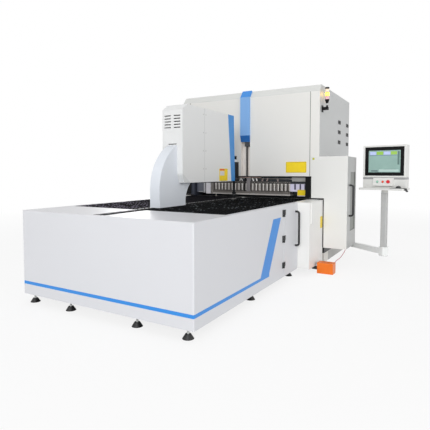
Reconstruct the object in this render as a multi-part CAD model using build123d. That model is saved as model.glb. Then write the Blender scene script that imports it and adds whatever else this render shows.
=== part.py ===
from build123d import *
import os
from math import atan2, degrees, hypot, radians, sqrt, tan

# Panel bender. Millimetres, X to the right, Y from the table towards the bending unit, Z up.
# The origin is on the floor, in the middle of the four anchor-bolt holes of the bending unit.

# Overall sizes
table_height = 1000
table_half_width = 1100
table_front = -4205
cabinet_rear = -1623
cabinet_bottom = 95
unit_half_width = table_half_width + 100
unit_front = -976
unit_rear = 975
unit_height = 2700

# Running clearance of sliding and turning pieces, and visible joint gaps
running_gap = 0.3
joint_gap = 3

# Sheet thicknesses and the bending radius of the thick folded sheets
cover_sheet = 5
cabinet_sheet = 4
shell_sheet = 4
fold_radius = 12

# Bending unit covers
plinth_height = 296
chamfer_depth = 80
chamfer_height = 100
opening_top = table_height + 345
panel_half_width = unit_half_width - 140
flange_inner = panel_half_width - 20
recess_half_width = 80
recess_share = 0.4044
recess_top = opening_top + round(recess_share * (unit_height - opening_top))
recess_depth = 74
column_half_width = 82
column_proud = 30
column_lower_edge = recess_top + 101
groove_height = opening_top + 341
groove_start = panel_half_width - 592
groove_end = panel_half_width - 266
groove_width = 6
rear_flange = 100
rear_vent_lowest = unit_height - 500
rear_vent_x = unit_half_width / 2
rear_vent_length = 300
rear_vent_height = 12
rear_vent_pitch = 40
rear_vent_count = 6

# Frame of the bending unit
frame_inner = unit_half_width - 110
frame_thickness = 60
frame_front = -880
frame_rear = 760
frame_top = unit_height - 140
throat_bottom = table_height
throat_top = table_height + 420
throat_rear = -200
throat_radius = 120
plinth_outer = unit_half_width + 6
plinth_inner = unit_half_width - 180
plinth_front = -660
plinth_rear = 900
base_plate = 30
anchor_spacing_x = 2 * (unit_half_width - 140)
anchor_spacing_y = 1200
anchor_radius = 13

# Bending tools
tool_front = -905
tool_rear = -760
tool_half_width = unit_half_width - 215
tool_bottom = table_height + 40
tool_top = tool_bottom + 185
tool_foot_height = 55
counter_top = table_height + 2
counter_bottom = table_height - 60
lower_beam_rear = -770
lower_beam_bottom = counter_bottom - 540
left_post_room = 335
end_block_width = 249
segment_start = left_post_room - tool_half_width
segment_pitch = 31.5
segment_gap = 2.5
segment_waist = 9
segment_count = round((2 * tool_half_width - left_post_room - end_block_width) / segment_pitch)
counter_segment_count = 10
cheek_inner = tool_half_width + 7
cheek_outer = frame_inner - 7
cheek_rear = -700
cheek_front = -960

# Lift of the blank holder: the room between the tools and the top beam is shared by beam and barrels
top_beam_height = 250
top_beam_top = frame_top - 60
top_beam_front = -875
top_beam_rear = -560
barrel_radius = 90
barrel_top = top_beam_top - top_beam_height
barrel_bore_top = barrel_top - 30
beam_share = 0.522
beam_top = tool_top + round(beam_share * (barrel_top - tool_top))
beam_rear = -640
barrel_bottom = beam_top + 140
rod_radius = 40
rod_x = tool_half_width - 285
rod_y = -760
rod_top = barrel_bottom + 100
ear_top = beam_top - 60
ear_bottom = beam_top - 280
ear_front = -690

# Bending blades
blade_gap = 6
blade_depth = 24
blade_upper_edge = table_height + 45
blade_lower_edge = table_height - 40
blade_height = 60
blade_arm_top = blade_upper_edge + 75
blade_arm_bottom = blade_lower_edge - 80
blade_spine_front = -560
blade_spine_rear = -420
blade_spine_bottom = blade_arm_bottom - 220
blade_half_width = tool_half_width - 5
slide_front = -350
slide_rear = -280
slide_bottom = blade_spine_bottom - 60
slide_top = table_height - 20
pin_radius = 30
pin_x = blade_half_width - 180
pin_z = blade_spine_bottom + 100
pin_front = -600

# Side boxes
block_outer = table_half_width + 166
box_outer = unit_half_width + 413
box_wall = 5
box_front_proud = 6
box_rear = -392
box_top = opening_top + 292
box_notch_x = block_outer + 14
box_notch_z = table_height + 24
rail_plane = box_outer - 38
door_thickness = 20
rail_size = 12
rail_inset = 27
handle_radius = 14
side_handle_y = -846
side_handle_bottom = table_height - 227
side_handle_top = table_height + 217
handle_reach = 70
window_front = -778
window_rear = -450
window_bottom = plinth_height + 244
window_top = box_top - 227
window_depth = 8

# Louvres
louvre_width = 150
louvre_height = 60
louvre_proud = 6
louvre_columns = (225, 828)
louvre_rows = (unit_height - 782, unit_height - 611, unit_height - 443)
blade_count = 4

# Table
front_plate_depth = 650
plate_sheet = 4
slot_half_width = 50
slot_front_margin = 34
margin_width = 60
strip_width = 75
field_thickness = 28
ridge_pitch = 60
ridge_gap = 5
ridge_depth = 5
field_rear = -985
tube = 60
foot_x = (440, table_half_width - 100)
foot_y = (-4140, -2900, -1690)
foot_pad_radius = 52
foot_pad_height = 40
foot_stud_radius = 11
foot_nut_drop = 26
frame_bottom = 110
block_rear = -980
bracket_lap = 20
small_cover_front = -1565
small_cover_rear = -1355
small_cover_bottom = table_height - 286
small_cover_top = table_height - 18
small_cover_proud = 10

# Table door
door_hinge_y = -2153
door_free_gap = 4
door_bottom = 130
door_top = table_height - 32
door_leaf = 5
hinge_pin_radius = 6
hinge_bands = (
    (door_bottom + 79, door_bottom + 153), (door_bottom + 401, door_bottom + 488),
    (door_top - 115, door_top - 28),
)
table_handle_y = -1724
table_handle_bottom = table_height - 568
table_handle_top = table_height - 115
table_handle_reach = 65

# Manipulator
axis_y = -1377
rail_x = 190
rail_beam_width = 80
rail_beam_top = 330
rail_width = 24
rail_height = 30
rail_front = -4160
rail_rear = -1000
carriage_front = -3345
carriage_rear = -2565
carriage_half_width = 250
carriage_bottom = 395
carriage_top = 445
bearing_length = 160
plate_half_thickness = 30
shell_half_width = 68
column_rear_edge = -3315
column_throat_edge = -2799
rear_arc_radius = 575
rear_arc_height = table_height + 200
throat_arc_radius = 271
throat_arc_height = table_height + 50
shell_bottom = table_height + 4
shell_margin = 10
shell_overlap = 30
spacer_radius = 20
shell_spacers = ((column_rear_edge + 250, shell_bottom + 96), (column_rear_edge + 300, shell_bottom + 396))
arm_top = table_height - 120
arm_tip = -1332
boss_half_width = 45
boss_bottom = table_height - 310
clamp_radius = 45
clamp_thickness = 15
upper_clamp_bottom = table_height + 55
upper_clamp_thickness = 20
press_rod_radius = 20
press_rod_top = upper_clamp_bottom + 415
lower_spindle_radius = 22
lower_spindle_bottom = boss_bottom + 30
head_half_width = 147
head_rear = -2972
head_front_bottom = -1627
head_front_top = -1668
head_bottom = table_height + 280
head_top = head_bottom + 940
head_rear_bottom = head_bottom + 112
head_bottom_rear = -2805
head_chamfer_y = 100
head_chamfer_z = 70
vent_length = 95
vent_height = 12
vent_pitch = 35
vent_lowest = head_top - 281
vent_count = 5
vent_x = 67.5
slit_length = 120
slit_width = 10
slit_height = head_top - 483
ram_half_width = 60
ram_front = -1325
ram_rear = -1622
ram_bottom = head_bottom + 29
ram_top = head_bottom + 281
ram_cap_radius = 55
ram_cap_top = ram_top + 39
ring_radius = 42
ring_top = ram_cap_top + 53

# Console
console_pivot_reach = 94
console_post_reach = 852
console_pivot = (plinth_outer + console_pivot_reach, 10)
console_post_at = (plinth_outer + console_post_reach, -594)
console_yaw = -10
arm_bottom = 206
arm_tube_top = 284
arm_tube_bottom = 208
arm_width = 70
hub_radius = 50
console_pin_radius = 14
lug_thickness = 16
lug_half_width = 45
elbow_size = 112
elbow_bottom = 185
elbow_top = 320
post_width = 80
post_top = 1110
coupling_radius = 45
tray_bottom = post_top + 42
tray_thickness = 28
tray_half_width = 312
tray_front = -190
tray_back = 110
mat_thickness = 2
lower_box_half_width = 297
lower_box_height = 150
lower_box_top = tray_bottom + tray_thickness + lower_box_height
lower_box_front = -60
lower_box_back = 100
monitor_height = 464
monitor_top = lower_box_top + monitor_height
monitor_front = -48
bezel_half_width = 272
bezel_margin = 24
bezel_proud = 6
screen_margin = 50
screen_depth = 3
button_box_half_width = 140
button_box_bottom = lower_box_top - 118
button_box_top = lower_box_top - 5
button_box_lip = 20
button_box_reach = 55
button_spacing = 75
button_travel = 4
stem_radius = 10
stem_length = 22
mouse_at = (225, -135)
mouse_width = 62
mouse_length = 90
mouse_height = 34

# Signal tower
tower_at = (unit_half_width + 70, -842)
tower_plate_bottom = unit_height - 400
tower_plate_height = 100
tower_arm_height = 42
tower_cone_bottom = unit_height - 275
tower_cone_top = tower_cone_bottom + 55
tower_lens_top = tower_cone_top + 160
tower_cap_top = tower_lens_top + 22
tower_radius = 32
tower_ring_height = 8

# Foot switch
pedal_left = unit_half_width + 100
pedal_right = pedal_left + 220
pedal_front = -1365
pedal_rear = -1215
pedal_height = 150
pedal_wall = 6
pedal_pivot_inset = 70
pedal_pivot_height = 52
pedal_toe = pedal_left - 74
pedal_plate = 12
pedal_axle_radius = 8
relief_at = (pedal_left + 195, pedal_rear + 12, 124)
gland_at = (box_outer - 68, box_rear - 341, 284)

# Route of the foot switch cable, from the strain relief to the gland
pedal_cable_diameter = 8
pedal_cable_route = [
    (1495, -1203, 124), (1498, -1132, 140), (1506, -1055, 152), (1515, -978, 156), (1524, -905, 171),
    (1532, -842, 197), (1539, -798, 216), (1543, -756, 234), (1545, -733, 256), (1545, -733, 284),
]

# Route of the mouse cord, in the console's own frame, from the mouse to the lower box
mouse_cord_diameter = 3
mouse_cord_route = [(225, -90, 1197), (225, -80, 1197), (228, -70, 1209), (228, -60, 1209)]


def block(x0, x1, y0, y1, z0, z1):
    """Box between two corners."""
    return Pos((x0 + x1) / 2, (y0 + y1) / 2, (z0 + z1) / 2) * Box(x1 - x0, y1 - y0, z1 - z0)


def profile_x(outline, x0, x1):
    """Outline of (y, z) points drawn out along X."""
    face = make_face(Polyline(*outline, close=True))
    return extrude(Plane.YZ.offset(x0) * face, amount=x1 - x0)


def profile_y(outline, y0, y1):
    """Outline of (x, z) points drawn out along Y."""
    face = make_face(Polyline(*outline, close=True))
    plane = Plane(origin=(0, y1, 0), x_dir=(1, 0, 0), z_dir=(0, -1, 0))
    return extrude(plane * face, amount=y1 - y0)


def round_z(x, y, radius, z0, z1):
    return Pos(x, y, (z0 + z1) / 2) * Cylinder(radius, z1 - z0)


def round_y(x, z, radius, y0, y1):
    return Pos(x, (y0 + y1) / 2, z) * Rot(90, 0, 0) * Cylinder(radius, y1 - y0)


def round_x(y, z, radius, x0, x1):
    return Pos((x0 + x1) / 2, y, z) * Rot(0, 90, 0) * Cylinder(radius, x1 - x0)


def left_of(shape):
    """The same piece for the left side of the machine."""
    return mirror(shape, about=Plane.YZ)


def group(pieces):
    return Compound(children=list(pieces))


# Bending unit

def side_frame():
    """Cut steel side plate with its throat, welded to a plinth with anchor holes."""
    outer = frame_inner + frame_thickness
    plate = block(frame_inner, outer, frame_front, frame_rear, base_plate, frame_top)
    throat = block(frame_inner - 1, outer + 1, frame_front - 1, throat_rear, throat_bottom, throat_top)
    inner_edges = throat.edges().filter_by(Axis.X).group_by(Axis.Y)[-1]
    plate -= fillet(inner_edges, throat_radius)
    plate -= block(frame_inner - 1, outer + 1, frame_front - 1, plinth_front,
                   base_plate - 1, lower_beam_bottom - 20)
    foot = block(plinth_inner, plinth_outer, plinth_front, plinth_rear, 0, base_plate)
    skirt = block(outer, plinth_outer, plinth_front, plinth_rear, base_plate, plinth_height)
    frame = plate + foot + skirt
    for y in (-anchor_spacing_y / 2, anchor_spacing_y / 2):
        frame -= round_z(anchor_spacing_x / 2, y, anchor_radius, -1, base_plate + 1)
    return frame


def lower_beam():
    """Beam under the counter blade, with the black cheeks that close the ends of the opening."""
    beam = block(-frame_inner, frame_inner, frame_front, lower_beam_rear, lower_beam_bottom, counter_bottom)
    for side in (-1, 1):
        x0, x1 = sorted((side * cheek_inner, side * cheek_outer))
        beam += block(x0, x1, frame_front, cheek_rear, counter_bottom, opening_top - cover_sheet)
        beam += block(x0, x1, cheek_front, frame_front, table_height + 2, opening_top - cover_sheet)
        beam += block(x0, x1, lower_beam_rear, cheek_rear, counter_bottom - 60, counter_bottom)
    return beam


def counter_blade():
    """Row of ground steel counter tools under the sheet."""
    width = 2 * tool_half_width / counter_segment_count
    outline = [
        (tool_front, counter_bottom), (lower_beam_rear, counter_bottom),
        (lower_beam_rear, counter_bottom + 20), (tool_rear, counter_bottom + 30),
        (tool_rear, counter_top), (tool_front + 15, counter_top), (tool_front, counter_top - 10),
    ]
    pieces = []
    for index in range(counter_segment_count):
        start = -tool_half_width + index * width
        pieces.append(profile_x(outline, start + segment_gap / 2, start + width - segment_gap / 2))
    return group(pieces)


def top_beam():
    """Box beam that ties the side frames and carries the lift cylinders."""
    beam = block(-frame_inner, frame_inner, top_beam_front, top_beam_rear, barrel_top, top_beam_top)
    beam -= block(-frame_inner + 20, frame_inner - 20, top_beam_front + 20, top_beam_rear - 20,
                  barrel_top + 20, top_beam_top - 20)
    beam -= block(-frame_inner / 2, frame_inner / 2, top_beam_rear - 21, top_beam_rear + 1,
                  barrel_top + 60, top_beam_top - 60)
    return beam


def lift_cylinders():
    """Two hydraulic barrels that raise and lower the blank holder."""
    pieces = []
    for x in (-rod_x, rod_x):
        barrel = round_z(x, rod_y, barrel_radius, barrel_bottom, barrel_top)
        barrel += round_z(x, rod_y, barrel_radius + 18, barrel_top - 30, barrel_top)
        barrel -= round_z(x, rod_y, rod_radius + running_gap, barrel_bottom - 1, barrel_bore_top)
        pieces.append(barrel)
    return group(pieces)


def side_profile(inset):
    """Outline of the side of the unit in (y, z), lowered by the roof sheet."""
    slope = hypot(chamfer_depth, chamfer_height)
    shift = inset * (slope - chamfer_height) / chamfer_depth
    return [
        (unit_front, plinth_height), (unit_rear, plinth_height), (unit_rear, unit_height - inset),
        (unit_front + chamfer_depth + shift, unit_height - inset),
        (unit_front, unit_height - chamfer_height - inset * slope / chamfer_depth),
    ]


def side_cover():
    """Folded side sheet with front and rear flanges and cut-outs behind the louvres."""
    wall = profile_x(side_profile(cover_sheet), unit_half_width - cover_sheet, unit_half_width)
    front_top = side_profile(cover_sheet)[-1][1]
    front = block(panel_half_width + joint_gap, unit_half_width, unit_front, unit_front + cover_sheet,
                  plinth_height, front_top)
    lip = block(flange_inner, unit_half_width - cover_sheet, unit_front + cover_sheet,
                unit_front + 2 * cover_sheet, opening_top, front_top - 2 * cover_sheet)
    rear = block(unit_half_width - rear_flange, unit_half_width, unit_rear - cover_sheet, unit_rear,
                 plinth_height, unit_height - cover_sheet)
    cover = wall + front + lip + rear
    for y in louvre_columns:
        for z in louvre_rows:
            cover -= block(unit_half_width - cover_sheet - 1, unit_half_width + 1,
                           y - louvre_width / 2 + 12, y + louvre_width / 2 - 12,
                           z - louvre_height / 2 + 8, z + louvre_height / 2 - 8)
    return cover


def side_louvres():
    """Black slatted inserts, six on each side."""
    pieces = []
    inner = louvre_height - 16
    pitch = inner / blade_count
    for y in louvre_columns:
        for z in louvre_rows:
            x0 = unit_half_width
            frame = block(x0, x0 + louvre_proud, y - louvre_width / 2, y + louvre_width / 2,
                          z - louvre_height / 2, z + louvre_height / 2)
            frame -= block(x0 - 1, x0 + louvre_proud + 1, y - louvre_width / 2 + 10,
                           y + louvre_width / 2 - 10, z - inner / 2, z + inner / 2)
            for index in range(blade_count):
                low = z - inner / 2 + index * pitch
                slat = [(x0, low + pitch * 0.55), (x0 + 2, low + pitch * 0.75),
                        (x0 + louvre_proud, low + pitch * 0.35), (x0 + louvre_proud, low + pitch * 0.15)]
                frame += profile_y(slat, y - louvre_width / 2 + 10, y + louvre_width / 2 - 10)
            pieces.append(frame)
            pieces.append(left_of(frame))
    return group(pieces)


def roof_cover():
    """Roof sheet folded down over the front chamfer."""
    inner = side_profile(cover_sheet)
    outline = [
        (unit_front, unit_height - chamfer_height), (unit_front + chamfer_depth, unit_height),
        (unit_rear, unit_height), inner[2], inner[3], inner[4],
    ]
    return profile_x(outline, -unit_half_width, unit_half_width)


def front_panel():
    """Front panel with folded edges and the open slot in its middle."""
    top = side_profile(cover_sheet)[-1][1]
    panel = block(-panel_half_width, panel_half_width, unit_front, unit_front + cover_sheet, opening_top, top)
    for side in (-1, 1):
        x0, x1 = sorted((side * (recess_half_width + 34), side * (panel_half_width - 30)))
        panel += block(x0, x1, unit_front + cover_sheet, unit_front + cover_sheet + 35,
                       opening_top, opening_top + cover_sheet)
    panel -= block(-recess_half_width, recess_half_width, unit_front - 1, unit_front + cover_sheet + 1,
                   opening_top - 1, recess_top)
    panel -= block(groove_start, groove_end, unit_front - 1, unit_front + 2,
                   groove_height - groove_width / 2, groove_height + groove_width / 2)
    return panel


def centre_column():
    """Blue folded cover up the middle of the front and over the chamfer."""
    slope = hypot(chamfer_depth, chamfer_height)
    out_y = chamfer_height / slope * column_proud * 0.8
    out_z = chamfer_depth / slope * column_proud * 0.8
    chamfer_foot = (unit_front - out_y, unit_height - chamfer_height + out_z)
    drop = (unit_front - column_proud - chamfer_foot[0]) * chamfer_height / chamfer_depth
    outline = [
        (unit_front, recess_top), (unit_front - column_proud, column_lower_edge),
        (unit_front - column_proud, chamfer_foot[1] + drop),
        (unit_front + chamfer_depth - out_y, unit_height + out_z), (unit_front + chamfer_depth, unit_height),
        (unit_front, unit_height - chamfer_height),
    ]
    return profile_x(outline, -column_half_width, column_half_width)


def guide_channel():
    """Pale folded channel behind the slot, with its dark vertical rail and stop block."""
    wall = 4
    front = unit_front + cover_sheet
    back = front + recess_depth
    outer = recess_half_width + wall
    channel = block(-outer, outer, front, back + wall, opening_top, recess_top + wall)
    channel -= block(-recess_half_width, recess_half_width, front - 1, back, opening_top - 1, recess_top)
    for side in (-1, 1):
        x0, x1 = sorted((side * outer, side * (outer + 26)))
        channel += block(x0, x1, front, front + wall, opening_top, recess_top + wall)
    channel += block(-14, 14, back - 26, back, opening_top, recess_top - 12)
    channel += block(-24, 62, back - 60, back, recess_top - 70, recess_top)
    return channel


def rear_cover():
    """Rear sheet behind the flanges, with two rows of vent slots."""
    y1 = unit_rear - cover_sheet
    cover = block(-unit_half_width + 2 * cover_sheet, unit_half_width - 2 * cover_sheet, y1 - cover_sheet, y1,
                  plinth_height, unit_height - 2 * cover_sheet)
    for x in (-rear_vent_x, rear_vent_x):
        for index in range(rear_vent_count):
            z = rear_vent_lowest + index * rear_vent_pitch
            cover -= block(x - rear_vent_length / 2, x + rear_vent_length / 2, y1 - cover_sheet - 1, y1 + 1,
                           z, z + rear_vent_height)
    return cover


# Bending tools

def blank_holder_beam():
    """Welded beam with guide ears and the two piston rods."""
    back = unit_front + cover_sheet + recess_depth + 4
    front = back + 22
    outline = [
        (front, tool_top), (tool_rear - 20, tool_top), (beam_rear, tool_top + 130), (beam_rear, beam_top),
        (front, beam_top),
    ]
    beam = profile_x(outline, -tool_half_width, tool_half_width)
    for side in (-1, 1):
        x0, x1 = sorted((side * tool_half_width, side * (frame_inner - running_gap)))
        beam += block(x0, x1, ear_front, beam_rear, ear_bottom, ear_top)
    for x in (-rod_x, rod_x):
        beam += round_z(x, rod_y, rod_radius, beam_top, rod_top)
    return beam


def blank_holder_tools():
    """Row of narrow steel segments, each with a full-width foot and a slimmer body."""
    top_front = tool_front + 38
    outline = [
        (top_front, tool_top), (tool_rear - 28, tool_top), (tool_rear - 28, tool_bottom + 110),
        (tool_rear, tool_bottom + 35), (tool_rear, tool_bottom), (tool_front, tool_bottom),
        (tool_front, tool_bottom + tool_foot_height), (top_front, tool_bottom + tool_foot_height + 20),
    ]
    pieces = []
    for index in range(segment_count):
        start = segment_start + index * segment_pitch
        end = start + segment_pitch - segment_gap
        segment = profile_x(outline, start, end)
        segment -= block(end - segment_waist, end + 1, tool_front - 1, tool_rear + 1,
                         tool_bottom + tool_foot_height, tool_top - 20)
        pieces.append(segment)
    return group(pieces)


def tool_end_blocks():
    """Grey post at the left of the row and pale block at its right."""
    left_end = segment_start - segment_gap
    right_start = segment_start + segment_count * segment_pitch
    post = block(left_end - 134, left_end, tool_front, tool_rear - 20, tool_bottom, tool_top)
    shoulder = tool_bottom + 67
    end = block(right_start, tool_half_width, tool_front, tool_rear - 20, shoulder, tool_top)
    end += block(right_start + 113, tool_half_width, tool_front, tool_rear - 60, tool_bottom, shoulder)
    step = (tool_half_width - right_start) / 3
    for index in range(1, 3):
        x = right_start + index * step
        end -= block(x - 6, x + 6, tool_front - 1, tool_front + 12, tool_bottom + 100, tool_top + 1)
    return group([post, end])


def blade_frame():
    """C-shaped blade holder with the upper and lower bending blade."""
    tip = tool_rear + blade_gap
    root = tip + blade_depth
    outline = [
        (blade_spine_rear, blade_spine_bottom), (blade_spine_rear, blade_arm_top), (root, blade_arm_top),
        (tip, blade_upper_edge + blade_height), (tip, blade_upper_edge), (root, blade_upper_edge + 12),
        (blade_spine_front, blade_upper_edge + 30), (blade_spine_front, blade_lower_edge - 30),
        (root, blade_lower_edge - 12), (tip, blade_lower_edge), (tip, blade_lower_edge - blade_height),
        (root, blade_arm_bottom), (blade_spine_front, blade_arm_bottom - 40),
        (blade_spine_front, blade_spine_bottom),
    ]
    frame = profile_x(outline, -blade_half_width, blade_half_width)
    for x in (-pin_x, pin_x):
        frame -= round_y(x, pin_z, pin_radius + running_gap, blade_spine_front - 1, blade_spine_rear + 1)
    return frame


def blade_slide():
    """Vertical slide behind the blade frame, with the pins that the frame shifts on."""
    slide = block(-blade_half_width, blade_half_width, slide_front, slide_rear, slide_bottom, slide_top)
    for side in (-1, 1):
        x0, x1 = sorted((side * blade_half_width, side * (frame_inner - running_gap)))
        slide += block(x0, x1, slide_front, slide_rear, slide_bottom + 40, slide_top - 60)
        slide += round_y(side * pin_x, pin_z, pin_radius, pin_front, slide_front)
    return slide


# Side boxes

def side_box_body(outer_plane):
    """Folded box beside the opening, stepped where the table block passes."""
    front = unit_front - box_front_proud
    x_in = unit_half_width
    face = [
        (box_notch_x, plinth_height), (box_outer, plinth_height), (box_outer, box_top),
        (cheek_outer, box_top), (cheek_outer, box_notch_z), (box_notch_x, box_notch_z),
    ]
    body = profile_y(face, front, unit_front)
    body += block(x_in, outer_plane, unit_front, box_rear, box_top - box_wall, box_top)
    body += block(plinth_outer + joint_gap, outer_plane, unit_front, box_rear,
                  plinth_height, plinth_height + box_wall)
    body += block(x_in, outer_plane, box_rear - box_wall, box_rear, plinth_height + box_wall, box_top)
    return body


def side_box_right():
    """Right side box, open behind its sliding door, with the two door rails."""
    body = side_box_body(rail_plane)
    wall = rail_plane - box_wall
    for z in (box_top - rail_inset - rail_size, plinth_height + rail_inset):
        body += block(rail_plane, rail_plane + rail_size, unit_front, box_rear, z, z + rail_size)
        body += block(wall, rail_plane, unit_front, box_rear, z - box_wall, z + rail_size + box_wall)
    for z0, z1 in ((box_top - rail_inset, box_top - box_wall),
                   (plinth_height + box_wall, plinth_height + rail_inset)):
        body += block(wall, rail_plane, unit_front, box_rear, z0, z1)
    return body


def side_box_left():
    """Left side box with a closed outer wall."""
    body = side_box_body(box_outer)
    body += block(box_outer - box_wall, box_outer, unit_front, box_rear, plinth_height, box_top)
    return left_of(body)


def pull_handle(x, y, z0, z1, reach):
    """D-shaped pull handle of round bar, standing out along X."""
    inset = reach - handle_radius
    path = FilletPolyline((x, y, z0), (x + inset, y, z0), (x + inset, y, z1), (x, y, z1), radius=30)
    bar = sweep(Plane(origin=(x, y, z0), z_dir=(1, 0, 0)) * Circle(handle_radius), path=path)
    return bar


def side_door():
    """Sliding door leaf with its window recess, handle and rail runners."""
    inner = box_outer - door_thickness
    y0 = unit_front + 0.5
    z0 = plinth_height + 4
    z1 = box_top - 4
    leaf = block(inner, box_outer, y0, box_rear, z0, z1)
    leaf -= block(inner - 1, box_outer - 5, y0 + 20, window_front - 20, z0 + 40, z1 - 40)
    leaf -= block(box_outer - window_depth, box_outer + 1, window_front, window_rear,
                  window_bottom, window_top)
    upper_rail = box_top - rail_inset
    lower_rail = plinth_height + rail_inset
    leaf += block(rail_plane + running_gap, inner, y0, box_rear, upper_rail + running_gap, upper_rail + 16)
    leaf += block(rail_plane + running_gap, inner, y0, box_rear, lower_rail - 14, lower_rail - running_gap)
    leaf += pull_handle(box_outer, side_handle_y, side_handle_bottom, side_handle_top, handle_reach)
    return leaf


# Table

def table_outline(z0, z1):
    """Space inside the rounded outline of the cabinet, between two heights."""
    body = block(-table_half_width, table_half_width, table_front, cabinet_rear, z0, z1)
    return fillet(body.edges().filter_by(Axis.Z).group_by(Axis.Y)[0], fold_radius)


def table_skirt():
    """Folded cabinet sheet round the table, open at the rear, with the door opening."""
    t = cabinet_sheet
    top = table_height - plate_sheet
    front_plate_rear = table_front + front_plate_depth
    skirt = block(-table_half_width, table_half_width, table_front, table_front + t, cabinet_bottom, top)
    for side in (-1, 1):
        x0, x1 = sorted((side * (table_half_width - t), side * table_half_width))
        skirt += block(x0, x1, table_front, cabinet_rear, cabinet_bottom, top)
        x0, x1 = sorted((side * (table_half_width - margin_width), side * table_half_width))
        skirt += block(x0, x1, front_plate_rear, cabinet_rear, top, table_height)
        x0, x1 = sorted((side * (table_half_width - 30), side * table_half_width))
        skirt += block(x0, x1, table_front, cabinet_rear, cabinet_bottom, cabinet_bottom + t)
    skirt -= block(table_half_width - t - 1, table_half_width + 1, door_hinge_y + 14,
                   cabinet_rear - 20, door_bottom + 12, door_top - 12)
    return skirt & table_outline(cabinet_bottom, table_height)


def table_frame():
    """Welded tube frame in two halves beside the slot, tied under the manipulator."""
    top = table_height - field_thickness
    low = frame_bottom
    half = tube / 2
    rear = block_rear - 10
    slot_edge = slot_half_width + 14
    upper = []
    lower = []
    posts = []
    for side in (-1, 1):
        for x in foot_x:
            x0, x1 = side * x - half, side * x + half
            upper.append(block(x0, x1, foot_y[0] - half, rear, top - tube, top))
            lower.append(block(x0, x1, foot_y[0] - half, rear, low, low + tube))
            posts += [block(x0, x1, y - half, y + half, low + tube, top - tube) for y in foot_y]
        x0, x1 = sorted((side * slot_edge, side * (foot_x[1] + half)))
        for y in (*foot_y, foot_y[0] + front_plate_depth - tube, rear - half):
            upper.append(block(x0, x1, y - half, y + half, top - tube, top))
        x0, x1 = sorted((side * slot_edge, side * (slot_edge + half)))
        upper.append(block(x0, x1, foot_y[0] - half, rear, top - tube, top))
    for y in foot_y:
        lower.append(block(-foot_x[1] - half, foot_x[1] + half, y - half, y + half, low, low + tube))
    frame = upper[0].fuse(*upper[1:])
    for bar in (*posts, lower[0].fuse(*lower[1:])):
        frame = frame + bar
    return frame


def table_top_front():
    """White front plate with the slot for the manipulator."""
    rear = table_front + front_plate_depth
    plate = block(-table_half_width, table_half_width, table_front, rear,
                  table_height - plate_sheet, table_height)
    plate &= table_outline(table_height - plate_sheet, table_height)
    return plate - block(-slot_half_width, slot_half_width, table_front + slot_front_margin, rear + 1,
                         table_height - plate_sheet - 1, table_height + 1)


def brush_field(x0, x1, rear_x0, rear_x1):
    """Brush field: a carrier with raised rows of bristles."""
    front = table_front + front_plate_depth
    base_top = table_height - ridge_depth
    low = table_height - field_thickness
    count = int((field_rear - front) / ridge_pitch)
    pitch = (field_rear - front) / count
    outline = [(field_rear, low), (front, low)]
    for index in range(count):
        start = front + index * pitch
        outline += [(start, table_height), (start + pitch - ridge_gap, table_height),
                    (start + pitch - ridge_gap, base_top), (start + pitch, base_top)]
    field = profile_x(outline, x0, x1)
    return field + block(rear_x0, rear_x1, field_rear, tool_front, low, table_height)


def brush_field_right():
    return brush_field(slot_half_width, table_half_width - margin_width, slot_half_width, tool_half_width)


def brush_field_left():
    inner = -slot_half_width - strip_width
    return brush_field(-table_half_width + margin_width, inner, -tool_half_width, inner)


def slot_strip():
    """White strip between the slot and the left field."""
    front = table_front + front_plate_depth
    return block(-slot_half_width - strip_width, -slot_half_width, front, tool_front,
                 table_height - field_thickness, table_height)


def side_block(with_cover):
    """Folded step beside the rear of the table."""
    t = cabinet_sheet
    top = table_height
    body = block(table_half_width, block_outer, cabinet_rear, block_rear, cabinet_bottom, top)
    body -= block(table_half_width - 1, block_outer - t, cabinet_rear + t, block_rear - t,
                  cabinet_bottom - 1, top - t)
    body += block(table_half_width - margin_width, table_half_width, cabinet_rear, block_rear, top - t, top)
    inner = foot_x[1] + tube / 2
    body += block(inner, table_half_width + bracket_lap, cabinet_rear + t, cabinet_rear + 2 * t,
                  frame_bottom, top - field_thickness)
    if with_cover:
        body += block(block_outer, block_outer + small_cover_proud, small_cover_front, small_cover_rear,
                      small_cover_bottom, small_cover_top)
    return body


def levelling_feet():
    """Rubber pads with threaded studs under the legs."""
    pieces = []
    for side in (-1, 1):
        for x in foot_x:
            for y in foot_y:
                foot = Cone(foot_pad_radius, foot_pad_radius / 2, foot_pad_height)
                foot = Pos(0, 0, foot_pad_height / 2) * foot
                foot += round_z(0, 0, foot_stud_radius, foot_pad_height, frame_bottom)
                foot += Pos(0, 0, frame_bottom - foot_nut_drop) * extrude(RegularPolygon(18, 6), amount=12)
                pieces.append(Pos(side * x, y, 0) * foot)
    return group(pieces)


def table_hinges():
    """Fixed leaves of the three door hinges, each with its pin."""
    pieces = []
    for z0, z1 in hinge_bands:
        x = table_half_width + door_leaf + hinge_pin_radius
        leaf = block(table_half_width, table_half_width + door_leaf, door_hinge_y - 40,
                     door_hinge_y - hinge_pin_radius - 6, z0, z1)
        leaf += block(table_half_width, x, door_hinge_y - hinge_pin_radius - 6, door_hinge_y, z0, z0 + 22)
        leaf += round_z(x, door_hinge_y, hinge_pin_radius + 5, z0, z0 + 22)
        leaf += round_z(x, door_hinge_y, hinge_pin_radius, z0, z1)
        pieces.append(leaf)
    return group(pieces)


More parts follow.
